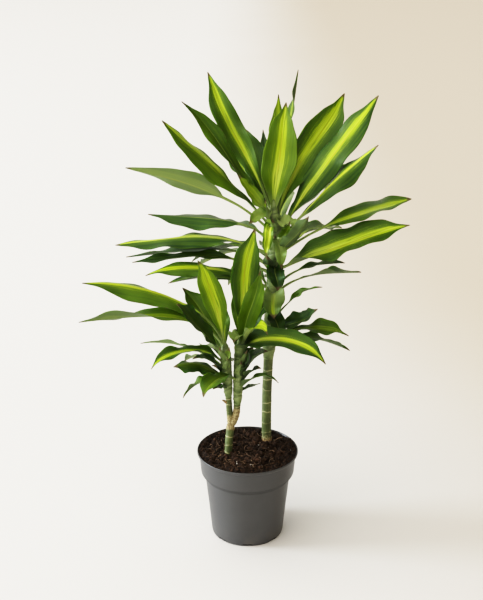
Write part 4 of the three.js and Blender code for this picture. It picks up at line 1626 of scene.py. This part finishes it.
@dataclass
class NurseryPot:
    """The moulded pot: a flat lip, a band, a rounded step, a tapered body and a foot.

    outside and inside list radii and heights in millimetres, from the middle of the underside up
    to the lip and down to the floor. Edges that turn by more than sharp_angle degrees stay sharp.
    """

    finish: bpy.types.Material
    outside: Stations = (
        (0, 0.6), (30, 0.6), (51, 0.5), (54.5, 0), (58.0, 0), (59.2, 0.3), (60.0, 1.2),
        (60.4, 2.5), (60.9, 5), (61.3, 8), (66.1, 56), (71.2, 103.0), (71.6, 105.4),
        (72.1, 107.2), (73.1, 108.8), (74.7, 110.3), (76.4, 111.8), (77.6, 113.3),
        (78.3, 115.0), (78.7, 117), (79.9, 131), (81.0, 145.4), (81.3, 146.5), (82.0, 147.4),
        (83.6, 148.3), (84.6, 149.1), (85.0, 150.2), (85.0, 152.0), (84.8, 152.7), (84.4, 153.0),
    )
    inside: Stations = (
        (83.9, 153.0), (83.5, 152.6), (83.3, 151.8), (83.0, 150.5), (81.9, 149.6), (80.4, 148.7),
        (79.6, 147.4), (79.3, 145.4), (78.2, 131), (77.0, 117.3), (76.4, 115.1), (75.2, 113.4),
        (73.4, 111.9), (71.8, 110.2), (70.6, 108.2), (69.9, 105.4), (69.5, 102.5), (59.8, 6),
        (59.1, 3.4), (58.1, 2.6), (0, 2.6),
    )
    segments: int = 160
    sharp_angle: float = 38
    notches: int = 8
    notch_size: Point = (18, 6.5, 4.6)
    notch_front: float = 64.5
    notch_rounding: float = 1.1

    def build(self) -> None:
        """Makes the pot, cuts its drainage notches and gives it to the frame."""
        shell = bmesh.new()
        rows = [level_ring(shell, radius * MM, height * MM, self.segments)
                for radius, height in self.outside + self.inside]
        loft(shell, rows)
        bmesh.ops.recalc_face_normals(shell, faces=shell.faces)
        blank = in_scene("pot_blank", kept_mesh("pot_blank", shell))
        cutter = self.notch_cutter()
        cut = blank.modifiers.new("notches", "BOOLEAN")
        cut.object, cut.operation, cut.solver = cutter, "DIFFERENCE", "EXACT"
        work = bmesh.new()
        work.from_mesh(evaluated_mesh(blank))
        bpy.data.objects.remove(blank)
        bpy.data.objects.remove(cutter)
        bmesh.ops.remove_doubles(work, verts=work.verts, dist=1e-6)
        sharp = math.radians(self.sharp_angle)
        for edge in work.edges:
            edge.smooth = len(edge.link_faces) == 2 and edge.calc_face_angle(0) < sharp
        give_to_frame(finished_mesh("nursery_pot_wall", work, self.finish), Slot.POT,
                      "nursery_pot")

    def notch_cutter(self) -> bpy.types.Object:
        """Rounded blocks at the places of the drainage notches.

        Returns:
            One object that holds them all, to be cut away.
        """
        work = bmesh.new()
        width, depth, height = self.notch_size
        for k in range(self.notches):
            made = bmesh.ops.create_cube(work, size=1.0)["verts"]
            bmesh.ops.scale(work, verts=made, vec=(width * MM, depth * MM, 2 * height * MM))
            reach = self.notch_front - depth / 2
            bmesh.ops.translate(work, verts=made, vec=(0, -reach * MM, 0))
            bmesh.ops.rotate(work, verts=made, cent=(0, 0, 0),
                             matrix=Matrix.Rotation(FULL_TURN * k / self.notches, 3, "Z"))
        bmesh.ops.bevel(work, geom=work.edges[:], offset=self.notch_rounding * MM, segments=2,
                        affect="EDGES")
        return in_scene("notch_cutter", kept_mesh("notch_cutter", work))


# ---------------------------------------------------------------- soil


@dataclass(frozen=True)
class Litter:
    """How one sort of litter lies on the soil.

    least and most are its scales, tilt how far it may tip, in radians, shrink how much smaller it
    is next to the rim, from 0 to 1, and draw what sets its random draws apart from the others'.
    """

    least: float
    most: float
    tilt: float
    shrink: float
    draw: int


@dataclass
class PottingSoil:
    """The root ball: a lumpy bed with crumbs, fibres and a few perlite grains on it.

    relief lists the width, the place in the noise and the height of each size of lump, and under
    the radii and heights of the ball below its top, in millimetres. crumbs, clods, fibres and
    grains are counts for each square metre. rim_fade is where the litter starts to shrink and
    where it is smallest, and lit_corner where the fibres at the front left start to crowd and
    where they are thickest, both as distances from the middle.
    """

    peat: bpy.types.Material
    fibre: bpy.types.Material
    perlite: bpy.types.Material
    edge_radius: float = 82.9
    edge_height: float = 150.8
    crown: float = 2.0
    relief: tuple[Point, ...] = ((26, 3.1, 2.4), (10, 7.7, 6.4), (3, 1.3, 2.8))
    under: Stations = ((82.2, 150.3), (79.2, 148.2), (78.7, 144), (76.4, 116.5), (69.4, 104),
                       (58.4, 4), (0, 2.9))
    rings: int = 70
    spokes: int = 200
    crumbs: float = 52000
    clods: float = 17000
    fibres: float = 15000
    grains: float = 1400
    crumb_radius: float = 1.35
    grain_radius: float = 1.1
    fibre_radius: float = 0.42
    fibre_length: float = 15
    seed: int = 21
    rim_fade: tuple[float, float] = (50, 80)
    lit_corner: tuple[float, float] = (20, 80)
    dent_grain: Point = (420.0, 610.0, 800.0)
    crumb_litter: Litter = Litter(0.5, 1.5, 3.1, 0.2, 0)
    clod_litter: Litter = Litter(0.40, 1.4, 3.1, 0.5, 10)
    grain_litter: Litter = Litter(0.6, 1.4, 3.1, 0.3, 20)
    fibre_litter: Litter = Litter(0.4, 1.2, 0.5, 0.8, 30)

    def height(self, x: float, y: float) -> float:
        """The bed's height, in millimetres.

        Args:
            x: the place across, in millimetres.
            y: the place from front to back, in millimetres.

        Returns:
            The height, which is calm at the rim.
        """
        share = max(1 - math.hypot(x, y) / self.edge_radius, 0)
        relief = sum(rise * noise.noise(Vector((x / width, y / width, level)))
                     for width, level, rise in self.relief)
        return self.edge_height + self.crown * math.sqrt(share) + relief * min(0.30 + 6 * share, 1)

    def bed_mesh(self) -> bpy.types.Mesh:
        """The closed root ball with its lumpy top.

        Returns:
            The mesh, facing outwards.
        """
        work = bmesh.new()
        rows = [[work.verts.new((0, 0, self.height(0, 0) * MM))]]
        for i in range(1, self.rings + 1):
            radius = self.edge_radius * (i / self.rings) ** 0.9
            row = []
            for k in range(self.spokes):
                angle = FULL_TURN * k / self.spokes
                x, y = radius * math.cos(angle), radius * math.sin(angle)
                row.append(work.verts.new((x * MM, y * MM, self.height(x, y) * MM)))
            rows.append(row)
        rows += [level_ring(work, radius * MM, height * MM, self.spokes)
                 for radius, height in self.under]
        loft(work, rows)
        bmesh.ops.recalc_face_normals(work, faces=work.faces)
        return kept_mesh("root_ball", work)

    def scatter(self, tree: ShapeTree, bed: Value, shape: Value, density: Value, seed: Value,
                litter: Litter) -> Value:
        """Strews a shape over the top of the bed.

        Args:
            tree: the tree.
            bed: the root ball.
            shape: the geometry to strew.
            density: pieces for each square metre.
            seed: the seed of every random draw.
            litter: how the pieces lie.

        Returns:
            The instances, each with a random tint.
        """
        seed = seed + litter.draw
        top = tree.part(tree.add("GeometryNodeInputNormal"), 2).over(0.15, 0.3)
        points = tree.add("GeometryNodeDistributePointsOnFaces", {"distribute_method": "RANDOM"}, {
            "Mesh": bed, "Density": density * top, "Seed": seed})
        turn = tree.add("FunctionNodeRandomValue", {"data_type": "FLOAT_VECTOR"}, {
            "Min": (-litter.tilt, -litter.tilt, 0.0),
            "Max": (litter.tilt, litter.tilt, 6.283),
            "Seed": seed + 1})
        scale = tree.add("FunctionNodeRandomValue", {"data_type": "FLOAT_VECTOR"}, {
            "Min": (litter.least,) * 3, "Max": (litter.most,) * 3, "Seed": seed + 2})
        by_rim = tree.from_axis(tree.position()).over(*(reach * MM for reach in self.rim_fade))
        strewn = tree.add("GeometryNodeInstanceOnPoints", values={
            "Points": points, "Instance": shape, "Rotation": turn,
            "Scale": tree.scaled(scale, 1 - by_rim * litter.shrink)})
        tint = tree.add("FunctionNodeRandomValue", {"data_type": "FLOAT"}, {"Seed": seed + 3},
                        output=1)
        return tree.store(strewn, "tint", tint, domain=Domain.INSTANCE)

    def lump(self, tree: ShapeTree, radius: Value, subdivisions: int, rough: float) -> Value:
        """An irregular ball.

        Args:
            tree: the tree.
            radius: the ball's radius.
            subdivisions: how fine it is.
            rough: how deep its dents are for its radius.

        Returns:
            The ball.
        """
        ball = tree.add("GeometryNodeMeshIcoSphere", values={
            "Radius": radius, "Subdivisions": subdivisions})
        dents = tree.grain(tree.position(), self.dent_grain, 1)
        return tree.add("GeometryNodeSetPosition", values={
            "Geometry": ball, "Offset": tree.scaled(tree.position(), (dents - 0.5) * rough)})

    def strand(self, tree: ShapeTree) -> Value:
        """A bent peat fibre.

        Args:
            tree: the tree.

        Returns:
            The fibre, which starts at the origin.
        """
        radius = tree.number("Fibre radius", self.fibre_radius * MM)
        length = tree.number("Fibre length", self.fibre_length * MM)
        middle = tree.vector(length * 0.40, length * 0.40, length * 0.22)
        far = tree.vector(length, length * 0.05, 0.0)
        line = tree.add("GeometryNodeCurveQuadraticBezier", values={
            "Resolution": 7, "Start": (0, 0, 0), "Middle": middle, "End": far})
        return tree.sweep(line, tree.circle(5, radius))

    def tree(self) -> ShapeTree:
        """The tree that strews crumbs, fibres and perlite over the bed.

        Returns:
            The tree, which takes the bed's mesh.
        """
        tree = ShapeTree("potting soil litter")
        bed = tree.start()
        seed = tree.count("Seed", self.seed)
        crumb_density = tree.number("Crumbs per square metre", self.crumbs)
        clod_density = tree.number("Clods per square metre", self.clods)
        fibre_density = tree.number("Fibres per square metre", self.fibres)
        grain_density = tree.number("Perlite per square metre", self.grains)
        crumb_radius = tree.number("Crumb radius", self.crumb_radius * MM)
        grain_radius = tree.number("Perlite radius", self.grain_radius * MM)
        peat = tree.finish_input("Peat finish", self.peat)
        fibre = tree.finish_input("Fibre finish", self.fibre)
        perlite = tree.finish_input("Perlite finish", self.perlite)

        crumb = self.lump(tree, crumb_radius, 1, 1.5)
        crumbs = self.scatter(tree, bed, crumb, crumb_density, seed, self.crumb_litter)
        clod = self.lump(tree, crumb_radius * 2.9, 2, 2.9)
        clods = self.scatter(tree, bed, clod, clod_density, seed, self.clod_litter)
        grain = self.lump(tree, grain_radius, 2, 1.2)
        grains = self.scatter(tree, bed, grain, grain_density, seed, self.grain_litter)
        place = tree.position()
        front_left = -(tree.part(place, 0) + tree.part(place, 1) * 1.3)
        crowd = front_left.over(*(reach * MM for reach in self.lit_corner))
        fibre_density = fibre_density * (0.6 + crowd * 1.6)
        fibres = self.scatter(tree, bed, self.strand(tree), fibre_density, seed,
                              self.fibre_litter)
        tree.end(tree.finished(tree.smooth(bed), peat), tree.finished(crumbs, peat),
                 tree.finished(clods, peat), tree.finished(fibres, fibre),
                 tree.finished(grains, perlite))
        return tree

    def build(self) -> None:
        """Makes the soil and gives it to the frame."""
        piece = self.tree().bake(self.bed_mesh(), "potting_soil_bed")
        give_to_frame(piece, Slot.PEAT, "potting_soil")


# ---------------------------------------------------------------- studio


@dataclass
class Studio:
    """The pale floor, the light of the room, the window, and the camera at the photo's angle.

    distance, height and window sizes are in metres, pitch and yaw in degrees, and the lens in
    millimetres. tones lists scene values and the share of white that shows them.
    """

    floor_finish: bpy.types.Material
    half_floor: float = 60.0
    distance: float = 1.75
    height: float = 1.0811
    pitch: float = 20.641
    yaw: float = 0.335
    lens: float = 69.79
    sensor: float = 36
    left_wall: Colour = rgb(1.25, 1.18, 1.08)
    right_wall: Colour = rgb(0.62, 0.54, 0.44)
    bright_side: Colour = rgb(2.60, 2.47, 2.25)
    dim_side: Colour = rgb(0.15, 0.11, 0.05)
    back_light: Colour = rgb(0.95, 1.05, 1.10)
    back_share: float = 0.6
    window_place: Point = (-12.0, 0.3, 3.0)
    window_size: tuple[float, float] = (3.6, 5.2)
    window_power: float = 2000
    window_colour: Point = (0.84, 0.92, 1.0)
    white_level: float = 2.0
    tones: Stations = (
        (0.0, 0.0), (0.05, 0.028), (0.1, 0.072), (0.2, 0.188), (0.4, 0.41), (0.7, 0.66),
        (1.0, 0.81), (1.4, 0.92), (2.0, 1.0),
    )

    def build(self) -> None:
        """Sets up everything around the plant."""
        self.floor()
        self.room()
        self.window()
        self.camera()
        self.tone()

    def floor(self) -> None:
        """The floor that the pot stands on."""
        half = self.half_floor
        mesh = bpy.data.meshes.new("floor")
        mesh.from_pydata([(-half, -half, 0), (half, -half, 0), (half, half, 0), (-half, half, 0)],
                         [], [(0, 1, 2, 3)])
        mesh.materials.append(self.floor_finish)
        floor = in_scene("floor", mesh)

    def room(self) -> None:
        """The light of a pale room: even at the horizon, and brighter at the left higher up."""
        world = bpy.data.worlds.new("pale room")
        world.use_nodes = True
        sheet = NodeSheet(world.node_tree)
        way = sheet.add("ShaderNodeTexCoord", output="Generated")
        rise, left = sheet.part(way, 2), 1 - sheet.part(way, 0).over(-0.8, 0.8)
        wall = sheet.blend(self.right_wall, self.left_wall, left)
        upper = sheet.blend(self.dim_side, self.bright_side, left)
        colour = sheet.blend(wall, upper, rise.over(0.08, 0.40))
        behind = sheet.part(way, 1).over(0.15, 0.60) * rise.over(0.25, 0.50)
        colour = sheet.blend(colour, self.back_light, behind * self.back_share)
        background = next(n for n in world.node_tree.nodes if n.type == "BACKGROUND")
        sheet.feed(background, {"Color": colour})
        bpy.context.scene.world = world

    def window(self) -> None:
        """The tall, soft light at the left."""
        data = bpy.data.lights.new("window", "AREA")
        data.shape, data.energy, data.color = "RECTANGLE", self.window_power, self.window_colour
        data.size, data.size_y = self.window_size
        lamp = in_scene("window", data)
        lamp.location = self.window_place
        lamp.rotation_euler = (-Vector(self.window_place)).to_track_quat("-Z", "Y").to_euler()

    def tone(self) -> None:
        """The picture's tones: deep shadows, and a soft shoulder for the pale floor."""
        view = bpy.context.scene.view_settings
        view.view_transform = "Standard"
        view.use_curve_mapping = True
        mapping = view.curve_mapping
        mapping.white_level = (self.white_level,) * 3
        points = mapping.curves[3].points
        while len(points) < len(self.tones):
            points.new(0.5, 0.5)
        for point, (scene, shown) in zip(points, self.tones):
            point.location = (scene / self.white_level, shown)
            point.handle_type = "AUTO"
        mapping.update()

    def camera(self) -> None:
        """The camera, level from side to side and looking a little down."""
        data = bpy.data.cameras.new("camera")
        data.sensor_fit = "VERTICAL"
        data.sensor_height = self.sensor
        data.lens = self.lens
        camera = in_scene("camera", data)
        camera.location = (0, -self.distance, self.height)
        camera.rotation_euler = (math.radians(90 - self.pitch), 0, math.radians(self.yaw))
        bpy.context.scene.camera = camera


def main() -> None:
    """Builds every piece in order."""
    logging.basicConfig(level=logging.INFO, format="%(name)s %(message)s")
    leaf = LeafFinish().material()
    green = CaneFinish().material()
    shoot = CaneFinish("clasped shoot", rgb(0.070, 0.110, 0.028), rgb(0.260, 0.330, 0.135),
                       rgb(0.120, 0.150, 0.060)).material()
    papery = PaperyFinish().material()
    Studio(FloorFinish().material()).build()
    NurseryPot(PotFinish().material()).build()
    PottingSoil(
        PeatFinish("damp peat", rgb(0.005, 0.003, 0.002), rgb(0.085, 0.044, 0.022)).material(),
        PeatFinish("peat fibre", rgb(0.040, 0.022, 0.012), rgb(0.420, 0.290, 0.180)).material(),
        PeatFinish("perlite", rgb(0.420, 0.390, 0.340), rgb(0.680, 0.650, 0.600)).material(),
    ).build()
    Canes(green, papery).build()
    crowns = (
        ("rear_crown", "rear_leaf_crown", REAR_STEM,
         ((300, 8), (320, 10.5), (545, 10.5), (562, 6), (574, 1)), REAR_LEAVES, 5),
        ("front_left_crown", "front_left_leaf_crown", LEFT_STEM,
         ((252, 5), (262, 6.8), (290, 8.5), (332, 8.5), (344, 5), (352, 1)), LEFT_LEAVES, 6),
        ("front_right_crown", "front_right_leaf_crown", RIGHT_STEM,
         ((238, 5.6), (248, 7), (290, 8.5), (336, 8.5), (348, 5), (357, 1)), RIGHT_LEAVES, 7),
    )
    for name, node, stem, girths, leaves, seed in crowns:
        LeafCrown(name, node, stem, girths, leaves, leaf, shoot, seed).build()


if __name__ == "__main__":
    main()
